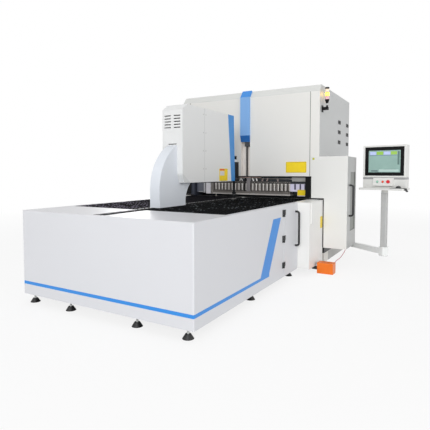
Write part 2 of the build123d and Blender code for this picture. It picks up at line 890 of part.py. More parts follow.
def table_door():
    """Service door leaf with hinge knuckles and the D-handle."""
    y1 = cabinet_rear - door_free_gap
    inner = table_half_width + 0.5
    outer = table_half_width + door_leaf
    door = block(inner, outer, door_hinge_y + 13, y1, door_bottom, door_top)
    x = outer + hinge_pin_radius
    for z0, z1 in hinge_bands:
        knuckle = round_z(x, door_hinge_y, hinge_pin_radius + 5, z0 + 22 + running_gap, z1)
        knuckle += block(outer, x + 3, door_hinge_y, door_hinge_y + 42, z0 + 22 + running_gap, z1)
        knuckle -= round_z(x, door_hinge_y, hinge_pin_radius + running_gap, z0, z1 + 1)
        door += knuckle
    door += pull_handle(outer, table_handle_y, table_handle_bottom, table_handle_top, table_handle_reach)
    return door


# Manipulator

def manipulator_rails():
    """Two rail beams with linear rails, and the magnet track between them."""
    rails = None
    base = frame_bottom + tube
    for side in (-1, 1):
        x = side * rail_x
        beam = block(x - rail_beam_width / 2, x + rail_beam_width / 2, rail_front, rail_rear,
                     base, rail_beam_top)
        beam += block(x - rail_width / 2, x + rail_width / 2, rail_front, rail_rear,
                      rail_beam_top, rail_beam_top + rail_height)
        rails = beam if rails is None else rails + beam
    rails += block(-rail_x, rail_x, rail_front, rail_rear, base, base + 20)
    rails += block(-60, 60, rail_front + 60, rail_rear - 60, base + 20, rail_beam_top)
    return rails


def carriage():
    """Carriage plate with four bearing blocks and the coil of the linear drive."""
    plate = block(-carriage_half_width, carriage_half_width, carriage_front, carriage_rear,
                  carriage_bottom, carriage_top)
    top_of_rail = rail_beam_top + rail_height
    for side in (-1, 1):
        x = side * rail_x
        for y in (carriage_front + 20, carriage_rear - 20 - bearing_length):
            bearing = block(x - 38, x + 38, y, y + bearing_length, rail_beam_top + 10, carriage_bottom)
            bearing -= block(x - rail_width / 2 - running_gap, x + rail_width / 2 + running_gap, y - 1,
                             y + bearing_length + 1, rail_beam_top, top_of_rail + running_gap)
            plate += bearing
    plate += block(-55, 55, carriage_front + 120, carriage_rear - 120, rail_beam_top + 2, carriage_bottom)
    return plate


def column_face(inset, low, reach=0):
    """Side face of the C-column, its edges drawn in by an inset and its top drawn on by a reach."""
    rear = column_rear_edge + inset
    throat = column_throat_edge - inset
    rear_centre = column_rear_edge + rear_arc_radius
    throat_centre = column_throat_edge + throat_arc_radius
    rear_r = rear_arc_radius - inset
    throat_r = throat_arc_radius + inset
    rear_end_y = head_rear + shell_overlap + reach
    rear_end = (rear_end_y, rear_arc_height + sqrt(rear_r ** 2 - (rear_end_y - rear_centre) ** 2))
    throat_end_z = head_bottom + 20 + reach
    throat_end = (throat_centre - sqrt(throat_r ** 2 - (throat_end_z - throat_arc_height) ** 2), throat_end_z)
    edges = [
        Line((throat, low), (rear, low)),
        Line((rear, low), (rear, rear_arc_height)),
        RadiusArc((rear, rear_arc_height), rear_end, rear_r),
        Line(rear_end, throat_end),
        RadiusArc(throat_end, (throat, throat_arc_height), -throat_r),
        Line((throat, throat_arc_height), (throat, low)),
    ]
    return make_face(edges)


def along_x(face, half):
    return extrude(Plane.YZ.offset(-half) * face, amount=2 * half)


def c_frame():
    """Cut C-shaped plate: column, lower arm in the slot, upper head and the clamp boss."""
    half = plate_half_thickness
    nose = ram_rear
    body = along_x(column_face(shell_margin, carriage_top), half)
    low_rear = column_throat_edge - shell_margin
    arm = [
        (column_rear_edge + shell_margin, carriage_top), (low_rear + 40, carriage_top),
        (arm_tip - 90, boss_bottom), (arm_tip, boss_bottom), (arm_tip, arm_top),
        (column_rear_edge + shell_margin, arm_top),
    ]
    body += profile_x(arm, -half, half)
    plate_rear = head_rear + shell_overlap + 4
    head = [
        (plate_rear, head_rear_bottom + 30), (plate_rear, head_top - 130),
        (head_rear + 120, head_top - 60), (head_front_top - 60, head_top - 60),
        (head_front_bottom - 70, ram_top - 9), (nose, ram_top - 9), (nose, ram_bottom + 11),
        (head_bottom_rear + 60, ram_bottom + 11), (head_bottom_rear - 20, head_bottom + 60),
    ]
    body += profile_x(head, -half, half)
    body += block(-ram_half_width + 12, ram_half_width - 12, nose - 50, nose, ram_bottom + 11, ram_top - 9)
    body += block(-2.2 * boss_half_width, 2.2 * boss_half_width, column_rear_edge + 40, carriage_rear - 40,
                  carriage_top, carriage_top + 28)
    body += block(-boss_half_width, boss_half_width, axis_y - boss_half_width, axis_y + boss_half_width,
                  boss_bottom, table_height - clamp_thickness - running_gap)
    return body - round_z(0, axis_y, lower_spindle_radius + running_gap, lower_spindle_bottom, table_height)


def c_frame_shell():
    """White shell round the column, seated on the plate with spacers."""
    shell = along_x(column_face(0, shell_bottom), shell_half_width)
    shell -= along_x(column_face(shell_sheet, shell_bottom - 1, shell_margin), shell_half_width - shell_sheet)
    for y, z in shell_spacers:
        for side in (-1, 1):
            x0, x1 = sorted((side * plate_half_thickness, side * (shell_half_width - shell_sheet)))
            shell += round_x(y, z, spacer_radius, x0, x1)
    return shell


def head_outline(inset):
    slant = (head_front_bottom - head_front_top) / (head_top - head_bottom)
    return [
        (head_rear + inset, head_rear_bottom + inset),
        (head_rear + inset, head_top - head_chamfer_z - inset / 2),
        (head_rear + head_chamfer_y + inset / 2, head_top - inset),
        (head_front_top - inset + slant * inset, head_top - inset),
        (head_front_bottom - inset - slant * inset, head_bottom + inset),
        (head_bottom_rear + inset / 2, head_bottom + inset),
    ]


def head_cover():
    """Folded head cover, open round the column, with vents in its rear face."""
    cover = profile_x(head_outline(0), -head_half_width, head_half_width)
    inner = head_half_width - shell_sheet
    cover -= profile_x(head_outline(shell_sheet), -inner, inner)
    cover -= along_x(column_face(-0.5, shell_bottom - 1), shell_half_width + 0.5)
    cover -= block(-ram_half_width + 10, ram_half_width - 10, head_front_bottom - 60, head_front_bottom + 1,
                   ram_bottom + 9, ram_top - 7)
    for side in (-1, 1):
        for index in range(vent_count):
            z = vent_lowest + index * vent_pitch
            cover -= block(side * vent_x - vent_length / 2, side * vent_x + vent_length / 2, head_rear - 1,
                           head_rear + shell_sheet + 1, z - vent_height / 2, z + vent_height / 2)
        for y, z in ((head_rear + 200, head_top - 200), (head_front_bottom - 150, head_top - 200),
                     (head_front_bottom - 150, head_bottom + 120)):
            x0, x1 = sorted((side * plate_half_thickness, side * inner))
            cover += round_x(y, z, spacer_radius, x0, x1)
    cover -= block(-slit_length / 2, slit_length / 2, head_rear - 1, head_rear + shell_sheet + 1,
                   slit_height, slit_height + slit_width)
    return cover


def ram_housing():
    """Black press cylinder on the nose, with its stepped cap."""
    body = block(-ram_half_width, ram_half_width, ram_rear, ram_front, ram_bottom, ram_top)
    body = fillet(body.edges().filter_by(Axis.Z).group_by(Axis.Y)[-1], 14)
    body += round_z(0, axis_y, ram_cap_radius - 5, ram_top, ram_cap_top)
    body += round_z(0, axis_y, ring_radius, ram_cap_top, ring_top)
    return body - round_z(0, axis_y, press_rod_radius + running_gap, ram_bottom - 1, ram_cap_top - 5)


def press_rod():
    rod_bottom = upper_clamp_bottom + upper_clamp_thickness
    rod = round_z(0, axis_y, press_rod_radius, rod_bottom + running_gap, press_rod_top)
    rod += round_z(0, axis_y, press_rod_radius + 8, rod_bottom + running_gap, rod_bottom + 26)
    return rod + round_z(0, axis_y, 10, rod_bottom - 12, rod_bottom + 1)


def upper_clamp():
    top = upper_clamp_bottom + upper_clamp_thickness
    disc = round_z(0, axis_y, clamp_radius, upper_clamp_bottom, top)
    disc = chamfer(disc.edges().filter_by(GeomType.CIRCLE), 2)
    return disc - round_z(0, axis_y, 10 + running_gap, top - 12 - running_gap, top + 1)


def lower_clamp():
    low = table_height - clamp_thickness
    disc = round_z(0, axis_y, clamp_radius, low, table_height)
    disc = chamfer(disc.edges().filter_by(GeomType.CIRCLE).group_by(Axis.Z)[-1], 2)
    return disc + round_z(0, axis_y, lower_spindle_radius, lower_spindle_bottom + 4, low)


# Console

def in_console(shape):
    """Turn and move a piece from the console's own frame to its place."""
    return Pos(console_post_at[0], console_post_at[1], 0) * Rot(0, 0, console_yaw) * shape


def console_bracket():
    """Bracket on the plinth with two lugs and the pivot pin of the arm."""
    x, y = console_pivot
    bottom = arm_bottom - lug_thickness - running_gap
    top = arm_tube_top + lug_thickness + running_gap
    bracket = block(plinth_outer, plinth_outer + 16, y - lug_half_width, y + lug_half_width, bottom, top)
    for z0 in (bottom, top - lug_thickness):
        bracket += block(plinth_outer, x, y - lug_half_width, y + lug_half_width, z0, z0 + lug_thickness)
        bracket += round_z(x, y, lug_half_width, z0, z0 + lug_thickness)
    return bracket + round_z(x, y, console_pin_radius, bottom, top)


def console_arm():
    """Swing arm: hub, square tube and the cast elbow."""
    x, y = console_pivot
    dx = console_post_at[0] - x
    dy = console_post_at[1] - y
    length = hypot(dx, dy)
    tube_part = Pos(length / 2, 0, (arm_tube_bottom + arm_tube_top) / 2) * Box(
        length - 40, arm_width, arm_tube_top - arm_tube_bottom - 4)
    hub = round_z(0, 0, hub_radius, arm_bottom, arm_tube_top)
    size = elbow_size
    elbow = Pos(length, 0, (elbow_bottom + elbow_top) / 2) * Box(size, size, elbow_top - elbow_bottom)
    elbow = chamfer(elbow.edges().filter_by(Axis.Z), 18)
    elbow = chamfer(elbow.edges().group_by(Axis.Z)[0], 12)
    bore = round_z(0, 0, console_pin_radius + running_gap, arm_bottom - 1, arm_tube_top + 1)
    return Pos(x, y, 0) * Rot(0, 0, degrees(atan2(dy, dx))) * (tube_part + hub + elbow - bore)


def console_post():
    """Square post with rounded corners on the elbow, with the turning socket at its top."""
    half = post_width / 2
    post = block(-half, half, -half, half, elbow_top, post_top)
    post = fillet(post.edges().filter_by(Axis.Z), 12)
    return in_console(post)


def console_tray():
    """Keyboard tray with its turning boss, and the flat mat zone for the mouse."""
    top = tray_bottom + tray_thickness
    tray = block(-tray_half_width, tray_half_width, tray_front, tray_back, tray_bottom, top)
    tray = fillet(tray.edges().filter_by(Axis.Z), 18)
    tray += block(mouse_at[0] - 110, tray_half_width - 4, tray_front + 8, lower_box_front - 8,
                  top, top + mat_thickness)
    tray += round_z(0, 0, coupling_radius, post_top + running_gap, tray_bottom)
    return in_console(tray)


def monitor_housing():
    """Lower box and screen housing, folded as one."""
    low = tray_bottom + tray_thickness
    half = lower_box_half_width
    body = block(-half, half, lower_box_front, lower_box_back, low, lower_box_top)
    upper = block(-half, half, monitor_front, lower_box_back, lower_box_top, monitor_top)
    upper = fillet(upper.edges().filter_by(Axis.Y), 10)
    return in_console(body + upper)


def monitor_screen():
    """Black bezel plate with the sunk screen."""
    z0 = lower_box_top + bezel_margin
    z1 = monitor_top - bezel_margin
    bezel = block(-bezel_half_width, bezel_half_width, monitor_front - bezel_proud, monitor_front, z0, z1)
    bezel -= block(-bezel_half_width + screen_margin, bezel_half_width - screen_margin,
                   monitor_front - bezel_proud - 1, monitor_front - bezel_proud + screen_depth,
                   z0 + screen_margin, z1 - screen_margin)
    return in_console(bezel)


def button_face():
    """Middle of the sloping button face, its tilt, and the direction into it, in the console's frame."""
    top = (lower_box_front - button_box_lip, button_box_top)
    bottom = (lower_box_front - button_box_reach, button_box_bottom)
    tilt = atan2(top[0] - bottom[0], top[1] - bottom[1])
    return ((top[0] + bottom[0]) / 2, (top[1] + bottom[1]) / 2, degrees(tilt))


def on_face(x, shape):
    """Place a shape drawn along +Z, pointing out of the button face, at a button position."""
    y, z, tilt = button_face()
    return in_console(Pos(x, y, z) * Rot(90 - tilt, 0, 0) * shape)


def button_box():
    """White box with a sloping face and three button bores."""
    outline = [
        (lower_box_front, button_box_bottom), (lower_box_front, button_box_top),
        (lower_box_front - button_box_lip, button_box_top),
        (lower_box_front - button_box_reach, button_box_bottom),
    ]
    box = in_console(profile_x(outline, -button_box_half_width, button_box_half_width))
    for x in (-button_spacing, 0, button_spacing):
        box -= on_face(x, round_z(0, 0, stem_radius + running_gap, -stem_length, 5))
    return box


def push_button(x, cap_radius, cap_height):
    """Button cap on a stem that slides in its bore."""
    button = round_z(0, 0, stem_radius, -stem_length + button_travel + running_gap, button_travel + 1)
    head = round_z(0, 0, cap_radius, button_travel + running_gap, button_travel + running_gap + cap_height)
    head = chamfer(head.edges().filter_by(GeomType.CIRCLE).group_by(Axis.Z)[-1], 2.5)
    return on_face(x, button + head)


def mouse():
    """Low rounded mouse."""
    x, y = mouse_at
    base = tray_bottom + tray_thickness + mat_thickness
    body = block(x - mouse_width / 2, x + mouse_width / 2, y - mouse_length / 2, y + mouse_length / 2,
                 base, base + mouse_height)
    body = fillet(body.edges().filter_by(Axis.Z), 26)
    body = chamfer(body.faces().sort_by(Axis.Z)[-1].edges(), 12)
    return in_console(body)


def cord_tube(points, diameter, name):
    """Tube of straight runs joined by arcs as large as the runs allow."""
    spots = [Vector(*point) for point in points]
    radii = []
    for before, here, after in zip(spots, spots[1:], spots[2:]):
        into = here - before
        away = after - here
        turn = radians(into.get_angle(away))
        radii.append(0.45 * min(into.length, away.length) / tan(turn / 2))
    path = FilletPolyline(*points, radius=radii)
    start = spots[1] - spots[0]
    tube = sweep(Plane(origin=points[0], z_dir=start) * Circle(diameter / 2), path=path)
    print(name, "radii", [round(radius) for radius in radii], "length", round(path.length),
          "volume ratio", round(tube.volume / (path.length * 3.14159 * diameter ** 2 / 4), 3))
    return tube


def mouse_cord():
    return in_console(cord_tube(mouse_cord_route, mouse_cord_diameter, "mouse_cord"))


# Signal tower

def signal_mount():
    """Bracket on the side cover with the cup that carries the lamps."""
    x, y = tower_at
    plate_top = tower_plate_bottom + tower_plate_height
    arm_z = tower_plate_bottom + (tower_plate_height - tower_arm_height) / 2
    mount = block(unit_half_width, unit_half_width + 6, y - 40, y + 40, tower_plate_bottom, plate_top)
    mount += block(unit_half_width, x + 20, y - 22, y + 22, arm_z, arm_z + tower_arm_height)
    mount += round_z(x, y, 14, arm_z + tower_arm_height / 2, tower_cone_bottom)
    mount += Pos(x, y, (tower_cone_bottom + tower_cone_top) / 2) * Cone(
        16, tower_radius + 2, tower_cone_top - tower_cone_bottom)
    return mount


def signal_tower():
    """Stack of three lamp lenses with their rings and the cap."""
    x, y = tower_at
    step = (tower_lens_top - tower_cone_top) / 3
    tower = None
    for index in range(3):
        z0 = tower_cone_top + index * step
        lens_top = z0 + step - tower_ring_height
        lens = round_z(x, y, tower_radius, z0, lens_top)
        lens += round_z(x, y, tower_radius - 4, lens_top, z0 + step)
        tower = lens if tower is None else tower + lens
    return tower + round_z(x, y, tower_radius + 2, tower_lens_top, tower_cap_top)


# Foot switch

def pedal_housing():
    """Orange hood with its floor, axle and the strain relief of the cable."""
    hood = block(pedal_left, pedal_right, pedal_front, pedal_rear, 0, pedal_height)
    hood = fillet(hood.edges().filter_by(Axis.X).group_by(Axis.Z)[-1], 14)
    wall = pedal_wall
    hood -= block(pedal_left - 1, pedal_right - 40, pedal_front + wall, pedal_rear - wall,
                  wall, pedal_height - wall - 8)
    x = pedal_right - pedal_pivot_inset
    hood += round_y(x, pedal_pivot_height, pedal_axle_radius, pedal_front + 1, pedal_rear - 1)
    run = (Vector(*pedal_cable_route[1]) - Vector(*pedal_cable_route[0])).normalized()
    relief = Plane(origin=relief_at, z_dir=run) * Pos(0, 0, -15) * Cylinder(pedal_cable_diameter / 2 + 3, 30)
    return hood + relief


def foot_pedal():
    """Black treadle on the axle, its toe standing out of the hood."""
    x = pedal_right - pedal_pivot_inset
    z = pedal_pivot_height
    y0 = pedal_front + pedal_wall + 2
    y1 = pedal_rear - pedal_wall - 2
    hub = round_y(x, z, pedal_axle_radius + 8, y0, y1)
    outline = [(pedal_toe, z + 12), (x, z + 4), (x, z + 4 - pedal_plate), (pedal_toe, z + 12 - pedal_plate)]
    plate = profile_y(outline, y0, y1)
    tip = [(pedal_toe, z + 2), (pedal_toe, z + 12), (pedal_toe + 24, z + 24), (pedal_toe + 60, z + 2)]
    pedal = hub + plate + profile_y(tip, y0, y1)
    return pedal - round_y(x, z, pedal_axle_radius + running_gap, y0 - 1, y1 + 1)


def pedal_cable():
    return cord_tube(pedal_cable_route, pedal_cable_diameter, "pedal_cable")


def cable_gland():
    """Gland nut under the right side box, where the cable goes in."""
    x, y, z = gland_at
    return Pos(x, y, z) * extrude(RegularPolygon(13, 6), amount=plinth_height - z)


parts = {
    "side_frame_right": side_frame(),
    "lower_beam": lower_beam(),
    "counter_blade": counter_blade(),
    "top_beam": top_beam(),
    "lift_cylinders": lift_cylinders(),
    "side_cover_right": side_cover(),
    "side_louvres": side_louvres(),
    "roof_cover": roof_cover(),
    "front_panel": front_panel(),
    "centre_column": centre_column(),
    "guide_channel": guide_channel(),
    "rear_cover": rear_cover(),
    "blank_holder_beam": blank_holder_beam(),
    "blank_holder_tools": blank_holder_tools(),
    "tool_end_blocks": tool_end_blocks(),
    "blade_frame": blade_frame(),
    "blade_slide": blade_slide(),
    "side_box_right": side_box_right(),
    "side_box_left": side_box_left(),
    "side_door": side_door(),
    "table_skirt": table_skirt(),
    "table_frame": table_frame(),
    "table_top_front": table_top_front(),
    "brush_field_right": brush_field_right(),
    "brush_field_left": brush_field_left(),
    "slot_strip": slot_strip(),
    "side_block_right": side_block(True),
    "side_block_left": left_of(side_block(False)),
    "levelling_feet": levelling_feet(),
    "table_hinges": table_hinges(),
    "table_door": table_door(),
    "manipulator_rails": manipulator_rails(),
    "carriage": carriage(),
    "c_frame": c_frame(),
    "c_frame_shell": c_frame_shell(),
    "head_cover": head_cover(),
    "ram_housing": ram_housing(),
    "press_rod": press_rod(),
    "upper_clamp": upper_clamp(),
    "lower_clamp": lower_clamp(),
    "console_bracket": console_bracket(),
    "console_arm": console_arm(),
    "console_post": console_post(),
    "console_tray": console_tray(),
    "monitor_housing": monitor_housing(),
    "monitor_screen": monitor_screen(),
    "button_box": button_box(),
    "button_green": push_button(-button_spacing, 15, 8),
    "button_orange": push_button(0, 15, 8),
    "emergency_stop": push_button(button_spacing, 24, 14),
    "mouse": mouse(),
    "mouse_cord": mouse_cord(),
    "signal_mount": signal_mount(),
    "signal_tower": signal_tower(),
    "pedal_housing": pedal_housing(),
    "foot_pedal": foot_pedal(),
    "pedal_cable": pedal_cable(),
    "cable_gland": cable_gland(),
}
parts["side_frame_left"] = left_of(parts["side_frame_right"])
parts["side_cover_left"] = left_of(parts["side_cover_right"])

os.makedirs("parts", exist_ok=True)
for name, shape in parts.items():
    export_step(shape, "parts/" + name + ".step")
print(len(parts), "parts written")
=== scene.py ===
# Panel bender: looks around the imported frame. Metres, +X right, +Y to the bending unit, +Z up.
import bmesh
import bpy
import math
import random
from mathutils import Matrix, Vector


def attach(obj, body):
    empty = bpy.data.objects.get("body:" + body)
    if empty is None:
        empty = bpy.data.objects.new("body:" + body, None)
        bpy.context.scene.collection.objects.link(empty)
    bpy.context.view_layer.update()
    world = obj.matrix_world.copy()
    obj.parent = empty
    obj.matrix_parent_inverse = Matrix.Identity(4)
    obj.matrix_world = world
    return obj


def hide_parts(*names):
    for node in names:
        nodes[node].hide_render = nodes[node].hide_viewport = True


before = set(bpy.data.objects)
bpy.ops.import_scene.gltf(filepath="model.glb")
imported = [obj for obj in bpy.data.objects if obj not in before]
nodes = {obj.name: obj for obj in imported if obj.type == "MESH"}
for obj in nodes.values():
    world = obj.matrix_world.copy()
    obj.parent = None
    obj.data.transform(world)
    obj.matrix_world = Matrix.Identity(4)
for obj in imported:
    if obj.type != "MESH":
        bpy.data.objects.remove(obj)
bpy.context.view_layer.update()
random.seed(7)


# Small helpers: colours, shader nodes, meshes

def toLinear(hexColour):  # sRGB hex to the linear values that shaders take
    channels = [int(hexColour[i:i + 2], 16) / 255 for i in (1, 3, 5)]
    return tuple(c / 12.92 if c <= 0.04045 else ((c + 0.055) / 1.055) ** 2.4 for c in channels) + (1.0,)


def addNode(tree, kind, settings):  # keys are inputs or its own settings, values may be outputs to link
    node = tree.nodes.new(kind)
    for key, value in settings.items():
        if isinstance(value, bpy.types.NodeSocket):
            tree.links.new(value, node.inputs[key])
        elif isinstance(key, int) or key in node.inputs:
            node.inputs[key].default_value = value
        else:
            setattr(node, key, value)
    return node


def chain(tree, operation, *values):  # one value after another, joined by the same sum, product or maximum
    result = values[0]
    for value in values[1:]:
        result = addNode(tree, "ShaderNodeMath", {"operation": operation, 0: result, 1: value}).outputs[0]
    return result


def inside(tree, *limits):  # 1 where every value lies between its own two limits, else 0
    tests = []
    for value, low, high in limits:
        tests.append(chain(tree, "GREATER_THAN", value, low))
        tests.append(chain(tree, "LESS_THAN", value, high))
    return chain(tree, "MULTIPLY", *tests)


def layColours(tree, colour, layers):  # lays colours over one another, each where its mask is 1
    for mask, upper in layers:
        mix = addNode(tree, "ShaderNodeMix", {"data_type": "RGBA", 0: mask, 6: colour, 7: upper})
        colour = mix.outputs[2]
    return colour


def startMaterial(name, settings):
    material = bpy.data.materials.new(name)
    material.use_nodes = True
    tree = material.node_tree
    shader = tree.nodes["Principled BSDF"]
    for key, value in settings.items():
        shader.inputs[key].default_value = value
    place = addNode(tree, "ShaderNodeTexCoord", {}).outputs["Object"]
    return material, tree, shader, place


def shadeOver(tree, place, hexColour, size, amount):  # slow drift of a colour, patch size in metres
    colour = toLinear(hexColour)
    drift = addNode(tree, "ShaderNodeTexNoise", {"Scale": 1 / size, "Detail": 3.0, "Vector": place})
    darker = tuple(c * (1 - amount) for c in colour[:3]) + (1.0,)
    return layColours(tree, darker, [(drift.outputs["Fac"], colour)])


def paintZones(tree, place, colour, zones):  # the colours of a trim over a finish
    if zones:
        axes = addNode(tree, "ShaderNodeSeparateXYZ", {0: place}).outputs
        colour = layColours(tree, colour, [(mask, toLinear(shade)) for mask, shade in zones(tree, *axes)])
    return colour


def addRelief(tree, shader, height, strength, depth):
    bump = addNode(tree, "ShaderNodeBump", {"Strength": strength, "Distance": depth, "Height": height})
    tree.links.new(bump.outputs["Normal"], shader.inputs["Normal"])


def varyRoughness(tree, shader, place, low, high, size):
    patches = addNode(tree, "ShaderNodeTexNoise", {"Scale": 1 / size, "Detail": 4.0, "Vector": place})
    spread = addNode(tree, "ShaderNodeMapRange", {"To Min": low, "To Max": high,
                                                  "Value": patches.outputs["Fac"]})
    tree.links.new(spread.outputs["Result"], shader.inputs["Roughness"])


def dress(material, *names):  # gives CAD nodes their finish
    for name in names:
        mesh = nodes[name].data
        mesh.materials.clear()
        mesh.materials.append(material)


def newPiece(name, mesh, material, body, shade=False):
    data = bpy.data.meshes.new(name)
    mesh.to_mesh(data)
    mesh.free()
    piece = bpy.data.objects.new(name, data)
    bpy.context.scene.collection.objects.link(piece)
    data.materials.append(material)
    for face in data.polygons:
        face.use_smooth = shade
    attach(piece, body)
    return piece


def addBlock(mesh, low, high, bevel=0.0, turn=None):  # bevelled block between two corners
    low, high = Vector(low), Vector(high)
    place = Matrix.Translation((low + high) / 2) @ Matrix.Diagonal((*(high - low), 1))
    verts = bmesh.ops.create_cube(mesh, size=1, matrix=place)["verts"]
    if bevel:
        edges = list({edge for vert in verts for edge in vert.link_edges})
        result = bmesh.ops.bevel(mesh, geom=edges, offset=bevel, affect="EDGES", segments=2, profile=0.5,
                                 material=-1)
        rounded = {vert for face in result["faces"] for vert in face.verts}
        verts = list(rounded | {vert for vert in verts if vert.is_valid})
    if turn:
        bmesh.ops.transform(mesh, matrix=turn, verts=verts)


def addRound(mesh, centre, radius, height, axis=(0, 0, 1), sides=24, top=None, bevel=0.0):  # bar or cone
    turn = Vector((0, 0, 1)).rotation_difference(Vector(axis)).to_matrix().to_4x4()
    made = bmesh.ops.create_cone(mesh, cap_ends=True, segments=sides, radius1=radius,
                                 radius2=radius if top is None else top, depth=height,
                                 matrix=Matrix.Translation(centre) @ turn)
    if bevel:
        along = Vector(axis).normalized()
        rims = [edge for edge in {e for v in made["verts"] for e in v.link_edges}
                if abs((edge.verts[0].co - edge.verts[1].co).normalized().dot(along)) < 0.01]
        bmesh.ops.bevel(mesh, geom=rims, offset=bevel, affect="EDGES", segments=2, profile=0.5, material=-1)
    return made["verts"]


def addScrew(mesh, centre, axis, radius, height, sides=12):  # button head with a sunk socket
    axis = Vector(axis).normalized()
    middle = Vector(centre) + axis * height / 2
    verts = addRound(mesh, middle, radius, height, axis, sides, top=radius * 0.72)
    faces = {face for vert in verts for face in vert.link_faces}
    crown = max(faces, key=lambda face: face.calc_center_median().dot(axis))
    bmesh.ops.inset_region(mesh, faces=[crown], thickness=radius * 0.3)
    bmesh.ops.translate(mesh, vec=-axis * height * 0.5, verts=crown.verts)


def screwRow(mesh, start, end, count, axis, radius, height, sides=12):  # evenly spaced from start to end
    for step in range(count):
        addScrew(mesh, Vector(start).lerp(Vector(end), step / (count - 1)), axis, radius, height, sides)


def spinProfile(mesh, outline, centre, steps=32):  # turned shape from (radius, height) points
    verts = [mesh.verts.new((centre[0] + radius, centre[1], height)) for radius, height in outline]
    edges = [mesh.edges.new(pair) for pair in zip(verts, verts[1:])]
    bmesh.ops.spin(mesh, geom=verts + edges, cent=(centre[0], centre[1], 0), axis=(0, 0, 1),
                   angle=math.radians(360), steps=steps, use_merge=True)
    bmesh.ops.remove_doubles(mesh, verts=mesh.verts, dist=0.00001)
    bmesh.ops.recalc_face_normals(mesh, faces=mesh.faces)


def addPrism(mesh, outline, low, high, bevel):  # a flat (y, z) outline drawn out along X
    face = mesh.faces.new([mesh.verts.new((low, y, z)) for y, z in outline])
    drawn = bmesh.ops.extrude_face_region(mesh, geom=[face])
    moved = [item for item in drawn["geom"] if isinstance(item, bmesh.types.BMVert)]
    bmesh.ops.translate(mesh, vec=(high - low, 0, 0), verts=moved)
    verts = set(face.verts) | set(moved)
    bmesh.ops.recalc_face_normals(mesh, faces=list({item for vert in verts for item in vert.link_faces}))
    bmesh.ops.bevel(mesh, geom=list({edge for vert in verts for edge in vert.link_edges}), offset=bevel,
                    affect="EDGES", segments=2, profile=0.5, material=-1)


def facing(x, y, z, axis):  # local Z turned to look along an axis of the machine
    turns = {"-Y": Matrix.Rotation(math.radians(90), 4, "X"),
             "+X": Matrix.Rotation(math.radians(90), 4, "Z") @ Matrix.Rotation(math.radians(90), 4, "X")}
    return Matrix.Translation((x, y, z)) @ turns[axis]


# Stage: camera at the photograph's viewing angle, pale floor, soft light

view = {"place": (2.908, -6.984, 1.410), "heading": 30.05, "pitch": 3.0, "lens": 34.39, "shiftY": -0.05}
camera = bpy.data.objects.new("camera", bpy.data.cameras.new("camera"))
camera.location = view["place"]
camera.rotation_euler = (math.radians(90 - view["pitch"]), 0, math.radians(view["heading"]))
camera.data.lens = view["lens"]
camera.data.sensor_width = 36
camera.data.shift_y = view["shiftY"]
camera.data.clip_end = 200
bpy.context.scene.collection.objects.link(camera)
bpy.context.scene.camera = camera
bpy.context.scene.view_settings.view_transform = "Standard"


def backgroundMask(tree):  # camera, glossy and transmission rays see the white background
    rays = addNode(tree, "ShaderNodeLightPath", {}).outputs
    return chain(tree, "MAXIMUM", rays["Is Camera Ray"], rays["Is Glossy Ray"], rays["Is Transmission Ray"])


# The floor is plain white far away, keeps shadows near the machine and is dark under it
stageLook = {"world": "#FFFFFF", "worldStrength": 0.50, "floor": "#F2F2F2", "floorSize": 60,
             "floorLevel": -0.001, "nearGlow": 0.82, "near": 5.0, "far": 11.0, "underX": (0.0, 0.45, 0.85),
             "underY": (-1.9, 1.35, 1.85), "underGlow": 0.1}
world = bpy.data.worlds.new("studio")
world.use_nodes = True
bpy.context.scene.world = world
worldTree = world.node_tree
sky = worldTree.nodes["Background"]
sky.inputs["Color"].default_value = toLinear(stageLook["world"])
sky.inputs["Strength"].default_value = stageLook["worldStrength"]
glow = addNode(worldTree, "ShaderNodeBackground", {"Color": toLinear(stageLook["world"]), "Strength": 1.0})
skyMix = addNode(worldTree, "ShaderNodeMixShader", {0: backgroundMask(worldTree), 1: sky.outputs[0],
                                                    2: glow.outputs[0]})
worldTree.links.new(skyMix.outputs[0], worldTree.nodes["World Output"].inputs["Surface"])

floorMaterial, floorTree, floorShader, floorPlace = startMaterial("paleFloor", {
    "Roughness": 0.9, "Specular IOR Level": 0.1, "Base Color": toLinear(stageLook["floor"])})
floorGlow = addNode(floorTree, "ShaderNodeEmission", {"Color": toLinear("#FFFFFF"), "Strength": 1.0})
away = addNode(floorTree, "ShaderNodeVectorMath", {"operation": "LENGTH", 0: floorPlace}).outputs["Value"]
openFloor = addNode(floorTree, "ShaderNodeMapRange", {
    "From Min": stageLook["near"], "From Max": stageLook["far"], "To Min": stageLook["nearGlow"],
    "To Max": 1.0, "Value": away}).outputs[0]
floorX, floorY = addNode(floorTree, "ShaderNodeSeparateXYZ", {0: floorPlace}).outputs[:2]
besides = []
for value, (middle, near, clear) in ((floorX, stageLook["underX"]), (floorY, stageLook["underY"])):
    distance = addNode(floorTree, "ShaderNodeMath", {
        "operation": "ABSOLUTE", 0: chain(floorTree, "SUBTRACT", value, middle)}).outputs[0]
    besides.append(addNode(floorTree, "ShaderNodeMapRange", {
        "From Min": near, "From Max": clear, "Value": distance}).outputs[0])
beside = chain(floorTree, "MAXIMUM", *besides, stageLook["underGlow"])
floorFactor = chain(floorTree, "MULTIPLY", backgroundMask(floorTree), openFloor, beside)
floorMix = addNode(floorTree, "ShaderNodeMixShader", {0: floorFactor, 1: floorShader.outputs[0],
                                                      2: floorGlow.outputs[0]})
floorTree.links.new(floorMix.outputs[0], floorTree.nodes["Material Output"].inputs["Surface"])
floorMesh = bmesh.new()
bmesh.ops.create_grid(floorMesh, x_segments=1, y_segments=1, size=stageLook["floorSize"])
floorData = bpy.data.meshes.new("floor")
floorMesh.to_mesh(floorData)
floorMesh.free()
floorData.materials.append(floorMaterial)
floor = bpy.data.objects.new("floor", floorData)
floor.location.z = stageLook["floorLevel"]
bpy.context.scene.collection.objects.link(floor)

